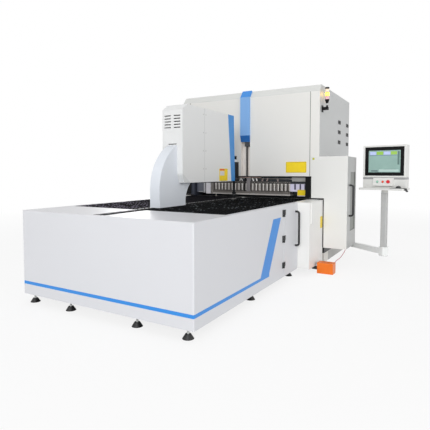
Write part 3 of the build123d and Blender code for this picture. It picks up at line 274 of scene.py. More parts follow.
lamps = {
    "key": {"place": (5.0, -17.0, 5.5), "aim": (0, -2, 1), "size": 7, "power": 1280},
    "fill": {"place": (10.0, -5.0, 3.0), "aim": (0.5, -1.5, 1), "size": 6, "power": 190},
    "top": {"place": (0, -2.0, 9.0), "aim": (0, -2.0, 0), "size": 7, "power": 60},
    "rear": {"place": (-8.0, 9.0, 5.0), "aim": (0, 0, 1.2), "size": 7, "power": 420},
}
for lampName, lamp in lamps.items():
    light = bpy.data.lights.new(lampName, "AREA")
    light.energy = lamp["power"]
    light.size = lamp["size"]
    holder = bpy.data.objects.new(lampName, light)
    holder.location = lamp["place"]
    holder.rotation_euler = (Vector(lamp["aim"]) - Vector(lamp["place"])).to_track_quat("-Z", "Y").to_euler()
    bpy.context.scene.collection.objects.link(holder)
print("stage: camera, floor and lamps")


# Cords

def makeCord(name, route, diameter, material):
    curve = bpy.data.curves.new(name, "CURVE")
    curve.dimensions = "3D"
    curve.bevel_depth = diameter / 2
    curve.bevel_resolution = 5
    curve.resolution_u = 10
    curve.use_fill_caps = True
    spline = curve.splines.new("NURBS")
    spline.points.add(len(route) - 1)
    for point, spot in zip(spline.points, route):
        point.co = (*spot, 1.0)
    spline.order_u = 3
    spline.use_endpoint_u = True
    cordPiece = bpy.data.objects.new(name, curve)
    curve.materials.append(material)
    bpy.context.scene.collection.objects.link(cordPiece)
    return cordPiece


def cableJacket(name, hexColour):  # extruded PVC jacket: smooth, slightly waxy, faint dust
    material, tree, shader, place = startMaterial(name, {"Roughness": 0.45, "IOR": 1.53})
    tree.links.new(shadeOver(tree, place, hexColour, 0.05, 0.25), shader.inputs["Base Color"])
    ripple = addNode(tree, "ShaderNodeTexNoise", {"Scale": 900.0, "Vector": place})
    addRelief(tree, shader, ripple.outputs["Fac"], 0.15, 0.0004)
    return material


pedalCord = {"diameter": 0.008, "length": 0.525, "colour": "#C2304E", "route": [
    (1.495, -1.203, 0.124), (1.498, -1.132, 0.140), (1.506, -1.055, 0.152), (1.515, -0.978, 0.156),
    (1.524, -0.905, 0.171), (1.532, -0.842, 0.197), (1.539, -0.798, 0.216), (1.543, -0.756, 0.234),
    (1.545, -0.733, 0.256), (1.545, -0.733, 0.284)]}
redPvc = cableJacket("redPvcCable", pedalCord["colour"])
pedalCable = makeCord("pedalCable", pedalCord["route"], pedalCord["diameter"], redPvc)
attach(pedalCable, "base")
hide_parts("pedal_cable")

console = {"pivot": (2.058, -0.594, 0.0), "turn": math.radians(-10)}  # where its head stands
consoleTurn = Matrix.Translation(console["pivot"]) @ Matrix.Rotation(console["turn"], 4, "Z")
mouseLead = {"diameter": 0.003, "length": 0.035, "colour": "#1A1A1C", "route": [
    (0.225, -0.090, 1.197), (0.225, -0.080, 1.197), (0.228, -0.070, 1.209), (0.228, -0.060, 1.209)]}
leadRoute = [tuple(consoleTurn @ Vector(point)) for point in mouseLead["route"]]
blackPvc = cableJacket("blackPvcLead", mouseLead["colour"])
mouseCable = makeCord("mouseCable", leadRoute, mouseLead["diameter"], blackPvc)
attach(mouseCable, "console_head")
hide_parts("mouse_cord")
print("cords")


# Finishes

def paintedSteel(name, hexColour, zones=None, rough=(0.34, 0.46), drift=0.03, peel=0.05, shine=0.5,
                 coat=0.15):
    # powder-coated sheet: even colour, satin shine, a fine orange peel (drawn at 4 mm, it is nearer 1 mm)
    material, tree, shader, place = startMaterial(name, {"IOR": 1.5, "Specular IOR Level": shine,
                                                         "Coat Weight": coat, "Coat Roughness": 0.3})
    colour = paintZones(tree, place, shadeOver(tree, place, hexColour, 0.9, drift), zones)
    tree.links.new(colour, shader.inputs["Base Color"])
    varyRoughness(tree, shader, place, *rough, 0.35)
    grain = addNode(tree, "ShaderNodeTexNoise", {"Scale": 250.0, "Detail": 2.0, "Vector": place})
    addRelief(tree, shader, grain.outputs["Fac"], peel, 0.0006)
    return material


def mattBlack(name, hexColour, zones=None):  # black primer: deep, nearly no shine
    return paintedSteel(name, hexColour, zones, rough=(0.5, 0.65), drift=0.2, shine=0.16, coat=0.0)


def groundSteel(name, hexColour, rough=(0.25, 0.42), zones=None, metal=0.85):
    # surface-ground tool steel: straight fine scratches along X, brighter and darker bands
    material, tree, shader, place = startMaterial(name, {"Metallic": metal})
    stretch = addNode(tree, "ShaderNodeMapping", {"Scale": (3.0, 60.0, 260.0), "Vector": place}).outputs[0]
    scratches = addNode(tree, "ShaderNodeTexNoise", {"Scale": 4.0, "Detail": 6.0,
                                                     "Vector": stretch}).outputs["Fac"]
    bright = toLinear(hexColour)
    dull = tuple(c * 0.72 for c in bright[:3]) + (1.0,)
    colour = paintZones(tree, place, layColours(tree, dull, [(scratches, bright)]), zones)
    tree.links.new(colour, shader.inputs["Base Color"])
    varyRoughness(tree, shader, place, *rough, 0.08)
    addRelief(tree, shader, scratches, 0.12, 0.0004)
    return material


def mouldedPlastic(name, hexColour, rough=(0.4, 0.55), grit=900.0, relief=0.12, zones=None):
    # injection-moulded ABS or nylon: even colour, fine spark-eroded texture
    material, tree, shader, place = startMaterial(name, {"IOR": 1.53})
    colour = paintZones(tree, place, shadeOver(tree, place, hexColour, 0.06, 0.15), zones)
    tree.links.new(colour, shader.inputs["Base Color"])
    varyRoughness(tree, shader, place, *rough, 0.03)
    texture = addNode(tree, "ShaderNodeTexNoise", {"Scale": grit, "Detail": 2.0, "Vector": place})
    addRelief(tree, shader, texture.outputs["Fac"], relief, 0.0003)
    return material


def rubber(name, hexColour):  # EPDM profile: dull black with a faint bloom
    return mouldedPlastic(name, hexColour, rough=(0.6, 0.8), grit=600.0, relief=0.2)


def bristleCarpet(name, hexColour):  # dense nylon bristles seen from a step away: black, almost no shine
    material, tree, shader, place = startMaterial(name, {"Roughness": 0.9, "Specular IOR Level": 0.05})
    tree.links.new(shadeOver(tree, place, hexColour, 0.04, 0.5), shader.inputs["Base Color"])
    ends = addNode(tree, "ShaderNodeTexVoronoi", {"Scale": 220.0, "Vector": place})
    addRelief(tree, shader, ends.outputs["Distance"], 0.8, 0.003)
    return material


# Trims: zones of another colour on one piece, as boxes in the machine's frame

far = 9.0  # past every edge of the machine


def boxZones(*rows):  # a row is a colour and the limits of its box, open along the axes it doesn't name
    return lambda tree, *axes: [
        (inside(tree, *((axes["xyz".index(axis)], *limits) for axis, limits in box.items())), colour)
        for colour, box in rows]


trims = {
    "column": boxZones(("#1C84D8", {"z": (2.603, far)}), ("#0A62AE", {"z": (-far, 1.994)})),  # chamfer, foot
    "channel": boxZones(("#4A4644", {"x": (-0.0145, 0.0145), "y": (-0.924, -0.8975)}),  # rod, stop block
                        ("#303338", {"x": (-0.0245, 0.0625), "y": (-0.9575, -0.8975),
                                     "z": (1.8225, 1.8935)})),
    "foot": boxZones(("#B4B6B4", {"z": (0.0405, far)})),  # zinc-plated stud above the rubber pad
    "tableDoor": boxZones(("#17181A", {"x": (1.1055, far)})),  # black handle and hinge knuckles
    "sideDoor": boxZones(("#6C716A", {"x": (-far, 1.6125), "y": (-0.7785, -0.4495), "z": (0.5395, 1.4105)}),
                         ("#17181A", {"x": (1.6135, far)})),  # window, black handle
    "side": boxZones(("#E2E1DD", {"y": (-far, -0.968)})),  # the front flange is as light as the front panel; the sides are painted darker as painted shade
    "mount": boxZones(("#C2C4C4", {"z": (2.396, 2.4228)})),  # bare stem under the tower's socket
    "ram": boxZones(("#D8D8D8", {"z": (1.5612, 1.6002)})),  # white collar above the black body
    "plinth": boxZones(("#F2EEE8", {"y": (-0.86, -0.42)}),  # pale front leg under a black band of painted shadow below the side box
                       ("#262627", {"y": (-far, -0.24), "z": (0.15, far)})),
    "tray": boxZones(("#141517", {"z": (1.1803, far)})),  # the black mat
    "monitor": boxZones(("#9C9C9D", {"z": (1.303, 1.331)})),  # painted shadow: a grey band under the monitor's edge over the lower box
    "endBlocks": boxZones(("#D9D5EC", {"x": (0.0, far)}), ("#A49E98", {"x": (-0.69, -0.60)})),
    "strip": boxZones(("#0A0B0D", {"x": (-far, -0.100), "y": (-far, -0.986)}),  # bristles beside a bare edge
                      ("#0A0B0D", {"x": (-0.084, far), "y": (-far, -0.986)})),
    "beam": boxZones(("#454955", {"x": (-far, -0.990)})),  # the left cheek is bare blue-grey steel
}


def leaning(tree, place, height, start, lean):  # a place along the machine, taken from an edge that leans
    rise = chain(tree, "SUBTRACT", height, start)
    along = addNode(tree, "ShaderNodeMath", {"operation": "MULTIPLY_ADD", 0: rise, 1: -lean, 2: place})
    return along.outputs[0]


# The blue trim of the table: a level stripe that sweeps up the right side as a slanted band
stripe = {"low": 0.202, "high": 0.236, "bandFrom": -2.855, "bandTo": -2.605, "lean": 0.586, "bandTop": 0.855,
          "rightSide": 1.09, "blue": "#1E84D6"}


def tableTrim(tree, x, y, z):
    level = (z, stripe["low"], stripe["high"])
    along = leaning(tree, y, z, stripe["high"], stripe["lean"])
    band = inside(tree, (x, stripe["rightSide"], far), (z, stripe["high"] - 0.001, stripe["bandTop"]),
                  (along, stripe["bandFrom"], stripe["bandTo"]))
    return [(inside(tree, level, (x, -far, stripe["rightSide"])), stripe["blue"]),
            (inside(tree, level, (y, -far, stripe["bandTo"])), stripe["blue"]), (band, stripe["blue"])]


# The blue nose of the manipulator head with its slanting edge, and the panel joint on the head's sides
nose = {"topEdge": -1.845, "bottomEdge": -1.743, "top": 2.22, "bottom": 1.28, "blue": "#2A84CC",
        "joint": -2.475, "jointWidth": 0.004, "line": "#9A9C9E"}


def headTrim(tree, x, y, z):
    slope = (nose["topEdge"] - nose["bottomEdge"]) / (nose["top"] - nose["bottom"])
    along = leaning(tree, y, z, nose["bottom"], slope)
    half = nose["jointWidth"] / 2
    return [(inside(tree, (y, nose["joint"] - half, nose["joint"] + half)), nose["line"]),
            (inside(tree, (along, nose["bottomEdge"], far)), nose["blue"])]


# Tools in the opening: painted shade in dark seams, painted highlights on bright middles of the bodies, dull
# feet, a painted highlight along the bottom edge
tools = {"start": -0.650, "pitch": 0.063, "seam": (0.0, 0.19), "middle": (0.45, 0.75), "feetTop": 1.112,
         "edgeTop": 1.061, "dark": "#3A3634", "bright": "#F2EEEA", "dull": "#77726E", "edgeHighlight": "#C6C2BE"}


def toolTrim(tree, x, y, z):
    start, pitch = tools["start"], tools["pitch"]
    along = addNode(tree, "ShaderNodeMath", {"operation": "WRAP", 0: x, 1: start + pitch,
                                             2: start}).outputs[0]
    low, high = ([start + share * pitch for share in tools[part]] for part in ("seam", "middle"))
    return [(inside(tree, (along, *high)), tools["bright"]), (inside(tree, (along, *low)), tools["dark"]),
            (inside(tree, (z, -far, tools["feetTop"])), tools["dull"]),
            (inside(tree, (z, -far, tools["edgeTop"])), tools["edgeHighlight"])]


white = paintedSteel("whitePowderCoat", "#E0E0DD")
blackPlastic = mouldedPlastic("blackNylon", "#18191B")
dress(white, "side_box_left", "side_box_right", "button_box")
dress(blackPlastic, "side_louvres", "table_hinges", "cable_gland", "mouse", "foot_pedal", "upper_clamp")

# Bending unit
# the plinth's black band is painted shadow under the side box
dress(paintedSteel("plinthPaintAndShadow", "#BDBCB9", trims["plinth"], rough=(0.45, 0.6), drift=0.08),
      "side_frame_left", "side_frame_right")
# painted shade: the side covers are painted darker than the front panel, the same paint in shade
dress(paintedSteel("shadedSidePowderCoat", "#BFC1C1", trims["side"]), "side_cover_left", "side_cover_right")
dress(paintedSteel("panelPowderCoat", "#E2E1DD"), "front_panel", "rear_cover")
dress(paintedSteel("roofPowderCoat", "#D6D7D4"), "roof_cover")
dress(paintedSteel("bluePowderCoat", "#7CABE0", trims["column"]), "centre_column")
# the channel's colour is lightened as painted light against the shadow it lies in
dress(paintedSteel("channelPaintLightened", "#FBF5EF", trims["channel"]), "guide_channel")
# grey door paint, darkened further as painted shade on the machine's shaded right side
dress(paintedSteel("sideDoorGreyAndShade", "#B3B4B3", trims["sideDoor"]), "side_door")
# the left end block's colour is lightened as painted light against the shade deep in the opening
dress(paintedSteel("endBlockPaintLightened", "#F2EFF5", trims["endBlocks"], rough=(0.3, 0.4)), "tool_end_blocks")
dress(paintedSteel("darkFramePaint", "#2E3236", rough=(0.45, 0.62), drift=0.2, shine=0.3, coat=0.0),
      "top_beam", "lift_cylinders", "table_frame", "carriage", "blank_holder_beam", "blade_slide",
      "blade_frame")
dress(mattBlack("mountPaint", "#0B0C0E", trims["mount"]), "signal_mount")
dress(mattBlack("beamPaint", "#0B0C0F", trims["beam"]), "lower_beam")
dress(groundSteel("groundSteel", "#A5A5A3"), "counter_blade", "manipulator_rails", "lower_clamp")
# the tool segments carry painted shade in their seams and painted highlights on their middles and bottom
# edge
dress(groundSteel("toolSteelShadeAndHighlights", "#B4AEA8", zones=toolTrim, metal=0.4), "blank_holder_tools")
dress(mouldedPlastic("lampPlastic", "#E8B030", rough=(0.2, 0.3)), "signal_tower")

# Table and manipulator
dress(paintedSteel("blockPowderCoat", "#EAEAE8"), "side_block_left", "side_block_right")
dress(paintedSteel("platePowderCoat", "#D2D2D6"), "table_top_front")
dress(paintedSteel("stripPaint", "#B9BCBB", trims["strip"], rough=(0.55, 0.75)), "slot_strip")
dress(paintedSteel("tablePowderCoat", "#D3D4D8", tableTrim), "table_skirt")
dress(paintedSteel("tableDoorPaint", "#D3D4D8", trims["tableDoor"]), "table_door")
dress(mouldedPlastic("footPadRubber", "#141416", zones=trims["foot"]), "levelling_feet")
dress(bristleCarpet("bristleCarpet", "#08090B"), "brush_field_right")
# the left field is painted lighter and lilac as painted sheen of the bristles at a grazing angle
dress(bristleCarpet("lilacSheenBristleCarpet", "#15141A"), "brush_field_left")
dress(paintedSteel("shellPowderCoat", "#DCE1E8"), "c_frame_shell")
dress(paintedSteel("headPowderCoat", "#DFE0E0", headTrim), "head_cover")
dress(mattBlack("blackFramePaint", "#0B0C0E"), "c_frame")
dress(mattBlack("ramPaint", "#0D0E11", trims["ram"]), "ram_housing")
dress(mattBlack("blackenedRod", "#121316"), "press_rod")

# Console and foot switch
dress(paintedSteel("greyPostPaint", "#B6B7B6", rough=(0.38, 0.5), drift=0.06), "console_post")
dress(paintedSteel("armPaint", "#ECEEED", rough=(0.38, 0.5)), "console_bracket", "console_arm")
dress(paintedSteel("trayPowderCoat", "#DADAD7", trims["tray"]), "console_tray")
dress(paintedSteel("monitorPowderCoatAndShadow", "#E0E0DD", trims["monitor"]), "monitor_housing")
dress(paintedSteel("bezelGlass", "#060708", rough=(0.15, 0.25), drift=0.0, peel=0.0, shine=0.18, coat=0.0),
      "monitor_screen")
dress(mouldedPlastic("orangeCasting", "#F07600", rough=(0.3, 0.42), grit=500.0), "pedal_housing")
for buttonNode, buttonFinish, buttonColour in (("button_green", "greenButton", "#8FCBB0"),
                                               ("button_orange", "orangeButton", "#F0583C"),
                                               ("emergency_stop", "redButton", "#E01424")):
    dress(mouldedPlastic(buttonFinish, buttonColour, rough=(0.2, 0.3), relief=0.03), buttonNode)
print("finishes on the frame's nodes")


# Plates: bare signs on the covers, a thin printed border inside a rounded edge

signColours = [mouldedPlastic("yellowVinyl", "#FADA08", rough=(0.3, 0.42), relief=0.04),
               mouldedPlastic("blackPrint", "#2A2820", rough=(0.35, 0.45), relief=0.03),
               mouldedPlastic("orangePrint", "#E2502A", rough=(0.3, 0.4), relief=0.03),
               mouldedPlastic("palePrint", "#D9D6D6", rough=(0.3, 0.4), relief=0.03)]
plates = {
    "panelPlate": {"size": (0.324, 0.166), "corner": 0.012, "margin": 0.007, "line": 0.003, "body": "base",
                   "place": facing(0.849, -0.9765, 1.482, "-Y")},
    "headPlate": {"size": (0.240, 0.170), "corner": 0.010, "margin": 0.006, "line": 0.002,
                  "body": "manipulator", "fields": ((0.05, 0.84, 0.62, 0.97), (0.07, 0.44, 0.6, 0.8)),
                  "place": facing(0.1475, -1.975, 1.372, "+X")},
    "blockPlate": {"size": (0.135, 0.090), "corner": 0.009, "margin": 0.005, "line": 0.002,
                   "body": "blank_holder", "place": facing(0.9185, -0.9055, 1.093, "-Y")},
    "stepPlate": {"size": (0.110, 0.170), "corner": 0.009, "margin": 0.005, "line": 0.002, "body": "base",
                  "place": facing(1.2665, -1.055, 0.681, "+X")},
}
vinyl = {"thick": 0.001, "print": 0.0004}
for plateName, plate in plates.items():
    mesh = bmesh.new()
    width, height = plate["size"]
    bmesh.ops.create_cube(mesh, size=1, matrix=Matrix.Diagonal((width, height, vinyl["thick"], 1)))
    uprights = [edge for edge in mesh.edges
                if abs(edge.verts[0].co.z - edge.verts[1].co.z) > vinyl["thick"] / 2]
    bmesh.ops.bevel(mesh, geom=uprights, offset=plate["corner"], affect="EDGES", segments=4, profile=0.5,
                    material=-1)
    front = max(mesh.faces, key=lambda face: face.calc_center_median().z)
    bmesh.ops.inset_region(mesh, faces=[front], thickness=plate["margin"], use_even_offset=True)
    border = bmesh.ops.inset_region(mesh, faces=[front], thickness=plate["line"], use_even_offset=True)
    for face in border["faces"]:
        face.material_index = 1
    for index, (left, low, right, high) in enumerate(plate.get("fields", ())):  # blank fields of colour
        middle = ((left + right - 1) / 2 * width, (low + high - 1) / 2 * height, vinyl["thick"] / 2)
        extent = ((right - left) * width, (high - low) * height, vinyl["print"], 1)
        spot = bmesh.ops.create_cube(mesh, size=1,
                                     matrix=Matrix.Translation(middle) @ Matrix.Diagonal(extent))
        for face in {face for vert in spot["verts"] for face in vert.link_faces}:
            face.material_index = 2 + index
    bmesh.ops.transform(mesh, matrix=plate["place"], verts=mesh.verts)
    piece = newPiece(plateName, mesh, signColours[0], plate["body"])
    for extra in signColours[1:]:
        piece.data.materials.append(extra)
print("plates")


# Brush tufts standing on the table's fields

def bristleTips(name, threshold, glintColour, fade):
    # nylon bristle ends: nearly black, painted glints on a few tufts, fewer of them between the two fade
    # lines
    material, tree, shader, place = startMaterial(name, {"Roughness": 0.8, "Specular IOR Level": 0.06})
    coarse = addNode(tree, "ShaderNodeTexVoronoi", {"Scale": 16.0, "Vector": place})
    red = addNode(tree, "ShaderNodeSeparateColor", {0: coarse.outputs["Color"]}).outputs[0]
    fine = addNode(tree, "ShaderNodeTexNoise", {"Scale": 700.0, "Vector": place}).outputs["Fac"]
    y = addNode(tree, "ShaderNodeSeparateXYZ", {0: place}).outputs[1]
    near = addNode(tree, "ShaderNodeMapRange", {"From Min": fade[0], "From Max": fade[1], "To Min": 1.0,
                                                "To Max": fade[2], "Value": y}).outputs[0]
    glint = chain(tree, "MULTIPLY", chain(tree, "GREATER_THAN", red, threshold), fine, near)
    colour = layColours(tree, toLinear("#08090B"), [(glint, toLinear(glintColour))])
    tree.links.new(colour, shader.inputs["Base Color"])
    addRelief(tree, shader, fine, 0.6, 0.002)
    return material


tufts = {"pitchX": 0.046, "pitchY": 0.0609, "radius": 0.0075, "tip": 0.0095, "height": 0.0055,
         "base": 0.9985, "front": -3.555, "rear": -0.985, "jitter": 0.006, "sides": 7}
# fields: left and right edge, threshold for the painted glints, colour of the painted glints, fade of the
# glints along Y
fields = {"Left": (-1.030, -0.135, 0.32, "#AAA3B9", (-2.9, -2.3, 0.08)),
          "Strip": (-0.084, -0.052, 0.86, "#7A8082", (-2.9, -1.0, 0.5)),
          "Right": (0.060, 1.030, 0.85, "#7C8386", (-2.6, -1.0, 0.7))}
for side, (low, high, threshold, glintColour, fade) in fields.items():
    mesh = bmesh.new()
    rows = int((tufts["rear"] - tufts["front"]) / tufts["pitchY"])
    columns = max(1, int((high - low) / tufts["pitchX"]))
    for row in range(rows):
        for step in range(columns):
            x = low + (step + 0.5 + 0.25 * (row % 2)) * (high - low) / columns
            y = tufts["front"] + (row + 0.5) * tufts["pitchY"]
            x += random.uniform(-1, 1) * tufts["jitter"]
            y += random.uniform(-1, 1) * tufts["jitter"]
            addRound(mesh, (x, y, tufts["base"] + tufts["height"] / 2), tufts["radius"], tufts["height"],
                     sides=tufts["sides"], top=tufts["tip"])
    tipMaterial = bristleTips("bristleTips" + side, threshold, glintColour, fade)
    newPiece("tufts" + side, mesh, tipMaterial, "base", shade=True)
print("brush tufts")


# Seals: edge profile round the notch of the side boxes, joints of the front panel, lips of the table slot;
# each block has its mirror image on the left

seals = {
    "notchSeals": {"colour": "#101113", "bevel": 0.002,
                   "blocks": (((0.987, -0.9875, 1.0045), (1.2795, -0.9765, 1.0225)),
                              ((1.2675, -0.9875, 0.300), (1.2795, -0.9765, 1.0045)))},
    "panelSeals": {"colour": "#8C8C88", "bevel": 0.0005,
                   "blocks": (((1.0560, -0.9770, 1.350), (1.0660, -0.9722, 2.596)),)},
    "slotLips": {"colour": "#0C0C0E", "bevel": 0.0005,
                 "blocks": (((0.050, -4.168, 0.9998), (0.073, -3.557, 1.0014)),)},
}
for sealName, seal in seals.items():
    mesh = bmesh.new()
    for low, high in seal["blocks"]:
        addBlock(mesh, low, high, seal["bevel"])
        addBlock(mesh, (-high[0], *low[1:]), (-low[0], *high[1:]), seal["bevel"])
    newPiece(sealName, mesh, rubber(sealName + "Rubber", seal["colour"]), "base")
print("seals")


# Signal tower: three lenses with rings between them and a cap

def lensPlastic(name, hexColour, glowStrength):  # ribbed polycarbonate, lit from inside when its lamp is on
    material, tree, shader, place = startMaterial(name, {"IOR": 1.58, "Roughness": 0.15,
                                                         "Transmission Weight": 0.35,
                                                         "Emission Strength": glowStrength})
    colour = shadeOver(tree, place, hexColour, 0.02, 0.12)
    tree.links.new(colour, shader.inputs["Base Color"])
    tree.links.new(colour, shader.inputs["Emission Color"])
    return material


tower = {"x": 1.270, "y": -0.842, "base": 2.480, "step": 0.05333, "ring": 0.008, "radius": 0.0285,
         "bore": 0.006, "edge": 0.002, "groove": 0.0012, "top": 2.640, "cap": 2.6615, "capRadius": 0.0305,
         "lenses": (("lensPink", "#E4B8C0", 0.25), ("lensYellow", "#FFD23C", 5.0),
                    ("lensPale", "#F2DFC8", 0.35))}
towerCentre = (tower["x"], tower["y"])
ringMesh = bmesh.new()
for index, (lensName, hexColour, glowStrength) in enumerate(tower["lenses"]):
    low = tower["base"] + index * tower["step"]
    high = low + tower["step"] - tower["ring"]
    radius = tower["radius"]
    half = [(tower["bore"], 0.0), (radius - tower["edge"], 0.0), (radius, tower["edge"]), (radius, 0.012),
            (radius - tower["groove"], 0.014), (radius, 0.016)]
    outline = [(r, low + rise) for r, rise in half] + [(r, high - rise) for r, rise in reversed(half)]
    mesh = bmesh.new()
    spinProfile(mesh, outline, towerCentre)
    lensFinish = lensPlastic(lensName, hexColour, glowStrength)
    lens = newPiece(lensName, mesh, lensFinish, "base", True)
    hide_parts("signal_tower")
    neck, upper = radius - 0.003, high + tower["ring"]
    spinProfile(ringMesh, [(0.0, high), (neck - 0.001, high), (neck, high + 0.001), (neck, upper - 0.001),
                           (neck - 0.001, upper), (0.0, upper)], towerCentre)
wide, top, cap = tower["capRadius"], tower["top"], tower["cap"]
spinProfile(ringMesh, [(0.0, top), (wide - 0.0007, top), (wide, top + 0.003), (wide, cap - 0.008),
                       (0.028, cap - 0.002), (0.020, cap), (0.0, cap)], towerCentre)
newPiece("towerRings", ringMesh, blackPlastic, "base", True)
print("signal tower")


# Inside of the bending opening: wedge clamps over the segments, the changer's rail and its fingers

holder = {"front": -0.871, "start": -0.65125, "pitch": 0.0315, "count": 44, "wedge": (0.026, 0.016, 0.030),
          "wedgeLow": 1.229, "raised": 0.004, "bolt": (0.006, 0.005)}
wedgeMesh = bmesh.new()
boltMesh = bmesh.new()
wide, deep, tall = holder["wedge"]
for index in range(holder["count"]):
    middle = holder["start"] + (index + 0.5) * holder["pitch"]
    low = holder["wedgeLow"] + (holder["raised"] if index % 4 == 1 else 0.0)
    addBlock(wedgeMesh, (middle - wide / 2, holder["front"] - deep, low),
             (middle + wide / 2, holder["front"], low + tall), 0.0025)
    addScrew(boltMesh, (middle, holder["front"] - deep, low + tall / 2), (0, -1, 0), *holder["bolt"], 8)
newPiece("wedgeClamps", wedgeMesh, groundSteel("phosphatedSteel", "#625F5C"), "blank_holder")
newPiece("wedgeBolts", boltMesh, groundSteel("zincBolt", "#A9A8A4"), "blank_holder", True)

rail = {"y": -0.8815, "z": 1.301, "radius": 0.0075, "ends": (-0.95, 0.78), "clips": 8, "clipEnd": 0.03,
        "clip": (0.022, 0.0095, 0.028)}
mesh = bmesh.new()
railLength = rail["ends"][1] - rail["ends"][0]
addRound(mesh, (sum(rail["ends"]) / 2, rail["y"], rail["z"]), rail["radius"], railLength, (1, 0, 0), 20,
         bevel=0.001)
wide, deep, tall = rail["clip"]
for index in range(rail["clips"]):
    x = rail["ends"][0] + rail["clipEnd"] + index * (railLength - 2 * rail["clipEnd"]) / (rail["clips"] - 1)
    addBlock(mesh, (x - wide / 2, rail["y"] - deep, rail["z"] - tall / 2),
             (x + wide / 2, holder["front"], rail["z"] + tall / 2), 0.002)
newPiece("changerRail", mesh, groundSteel("chromedRail", "#9A9794"), "blank_holder", True)

# leaning fingers: place along X, lean in degrees, true for a white one
fingers = {"set": ((-0.135, 30, True), (-0.108, -34, True), (0.096, -24, True), (0.160, -20, True),
                   (0.262, 18, False), (0.345, 22, False), (-0.420, 20, False), (0.520, -16, False)),
           "width": 0.017, "depth": 0.009, "length": 0.052, "z": 1.287, "y": -0.8865, "base": (0.018, 0.024)}
fingerMeshes = {True: bmesh.new(), False: bmesh.new()}
for x, lean, isWhite in fingers["set"]:
    centre = Vector((x, fingers["y"], fingers["z"]))
    half = Vector((fingers["width"], fingers["depth"], fingers["length"])) / 2
    tilt = Matrix.Rotation(math.radians(lean), 4, "Y")
    turn = Matrix.Translation(centre) @ tilt @ Matrix.Translation(-centre)
    addBlock(fingerMeshes[isWhite], centre - half, centre + half, 0.002, turn)
    wide, tall = fingers["base"]
    addBlock(fingerMeshes[isWhite], (x - wide / 2, centre.y + half.y, centre.z - tall / 2),
             (x + wide / 2, holder["front"], centre.z + tall / 2), 0.002)
newPiece("changerFingers", fingerMeshes[True], paintedSteel("whiteFingerPaint", "#F2F0EE"), "blank_holder")
newPiece("changerLatches", fingerMeshes[False], paintedSteel("rosePrimer", "#A89490"), "blank_holder")

# Ends of the row: grey bar and dark strips over the right end block, housing and slim post at the left,
# grooves in the left block, a dark rod and a plate in the middle of the row, and the rack over the rail
blockFace = {"front": -0.9050, "top": 1.2240}
guides = {"onTools": (-0.9095, -0.9052, 1.095, 1.262), "above": (-0.8915, -0.8715, 1.262, 1.312),
          "rod": (-0.053, -0.027), "plate": (-0.013, 0.056)}


def onFace(spans, low, proud, bevel):  # thin upright strips on the face of an end block, from spans along X
    return [((left, blockFace["front"] - proud, low), (right, blockFace["front"], blockFace["top"]), bevel)
            for left, right in spans]


def upTheRow(span):  # the lower and upper stretch of a guide that climbs from the tools to the beam
    return [((span[0], front, low), (span[1], back, high), 0.0015)
            for front, back, low, high in (guides["onTools"], guides["above"])]


def guideScrews(span):
    return [(sum(span) / 2, guides["onTools"][0], z, 0.006, 0.003, 12) for z in (1.110, 1.245)]


rowPieces = {  # material, slot, blocks, screws
    "endBar": (paintedSteel("greyBarPaint", "#A2A2A0"), "grey_paint",
               [((0.757, -0.893, 1.263), (0.984, -0.871, 1.327), 0.003)],
               [(x, -0.893, 1.295, 0.008, 0.005, 16) for x in (0.79, 0.95)]),
    "changerHousing": (paintedSteel("blueGreyPaint", "#565A68", rough=(0.25, 0.35)), "frame_steel",
                       [((-0.980, -0.899, 1.063), (-0.843, -0.786, 1.2245), 0.004)], []),
    "changerPost": (groundSteel("postSteel", "#B4B4B8", metal=0.4), "tool_steel",
                    [((-0.940, -0.903, 1.063), (-0.843, -0.899, 1.073), 0.001),
                     ((-0.838, -0.902, 1.052), (-0.805, -0.790, 1.2245), 0.003)], []),
    "endStrips": (paintedSteel("navyStrip", "#2C2A4A"), "black_paint",
                  onFace(((0.800, 0.826), (0.884, 0.908), (0.960, 0.984)), 1.139, 0.0012, 0.0004), []),
    "blockGrooves": (mattBlack("grooveBlack", "#1A1A1C"), "black_paint",
                     onFace(((-0.693, -0.685), (-0.670, -0.664)), 1.056, 0.0008, 0.0003), []),
    "middleRod": (mattBlack("rodBlack", "#161518"), "tool_steel", upTheRow(guides["rod"]),
                  guideScrews(guides["rod"])),
    "middlePlate": (groundSteel("platedSteel", "#8C888A", metal=0.4), "tool_steel",
                    upTheRow(guides["plate"]), guideScrews(guides["plate"])),
    "changerRack": (paintedSteel("roseRackPaint", "#B89C92"), "grey_paint",
                    [((-0.300, -0.8915, 1.3185), (0.240, -0.8715, 1.3275), 0.001)], []),
}
for pieceName, (finish, slotName, blocks, heads) in rowPieces.items():
    mesh = bmesh.new()
    for low, high, bevel in blocks:
        addBlock(mesh, low, high, bevel)
    for x, y, z, radius, height, sides in heads:
        addScrew(mesh, (x, y, z), (0, -1, 0), radius, height, sides)
    newPiece(pieceName, mesh, finish, "blank_holder")
print("opening")


# Console: lit display, frame round it, collars of the buttons, mat and mouse, in the console's own frame

def inConsole(mesh):
    bmesh.ops.transform(mesh, matrix=consoleTurn, verts=mesh.verts)


# the display's fields are shares of its width and height: left, low, right, high
screen = {"halfWidth": 0.2215, "low": 1.4045, "high": 1.7195, "front": -0.0530, "back": -0.0510,
          "page": "#8FB0A8", "glow": 0.13, "fields": (
              ((0.03, 0.80, 0.93, 0.95), "#9FA9CE"), ((0.05, 0.81, 0.23, 0.94), "#B4C2EA"),
              ((0.25, 0.80, 0.47, 0.95), "#8DBE48"), ((0.49, 0.81, 0.68, 0.94), "#B4C2EA"),
              ((0.70, 0.80, 0.90, 0.95), "#94BE50"), ((0.03, 0.765, 0.93, 0.785), "#5E6F9A"),
              ((0.91, 0.35, 0.97, 0.95), "#54706C"), ((0.09, 0.04, 0.30, 0.09), "#46525E"),
              ((0.34, 0.03, 0.95, 0.14), "#A9C2BC"), ((0.50, 0.14, 0.88, 0.155), "#5C7874"))}


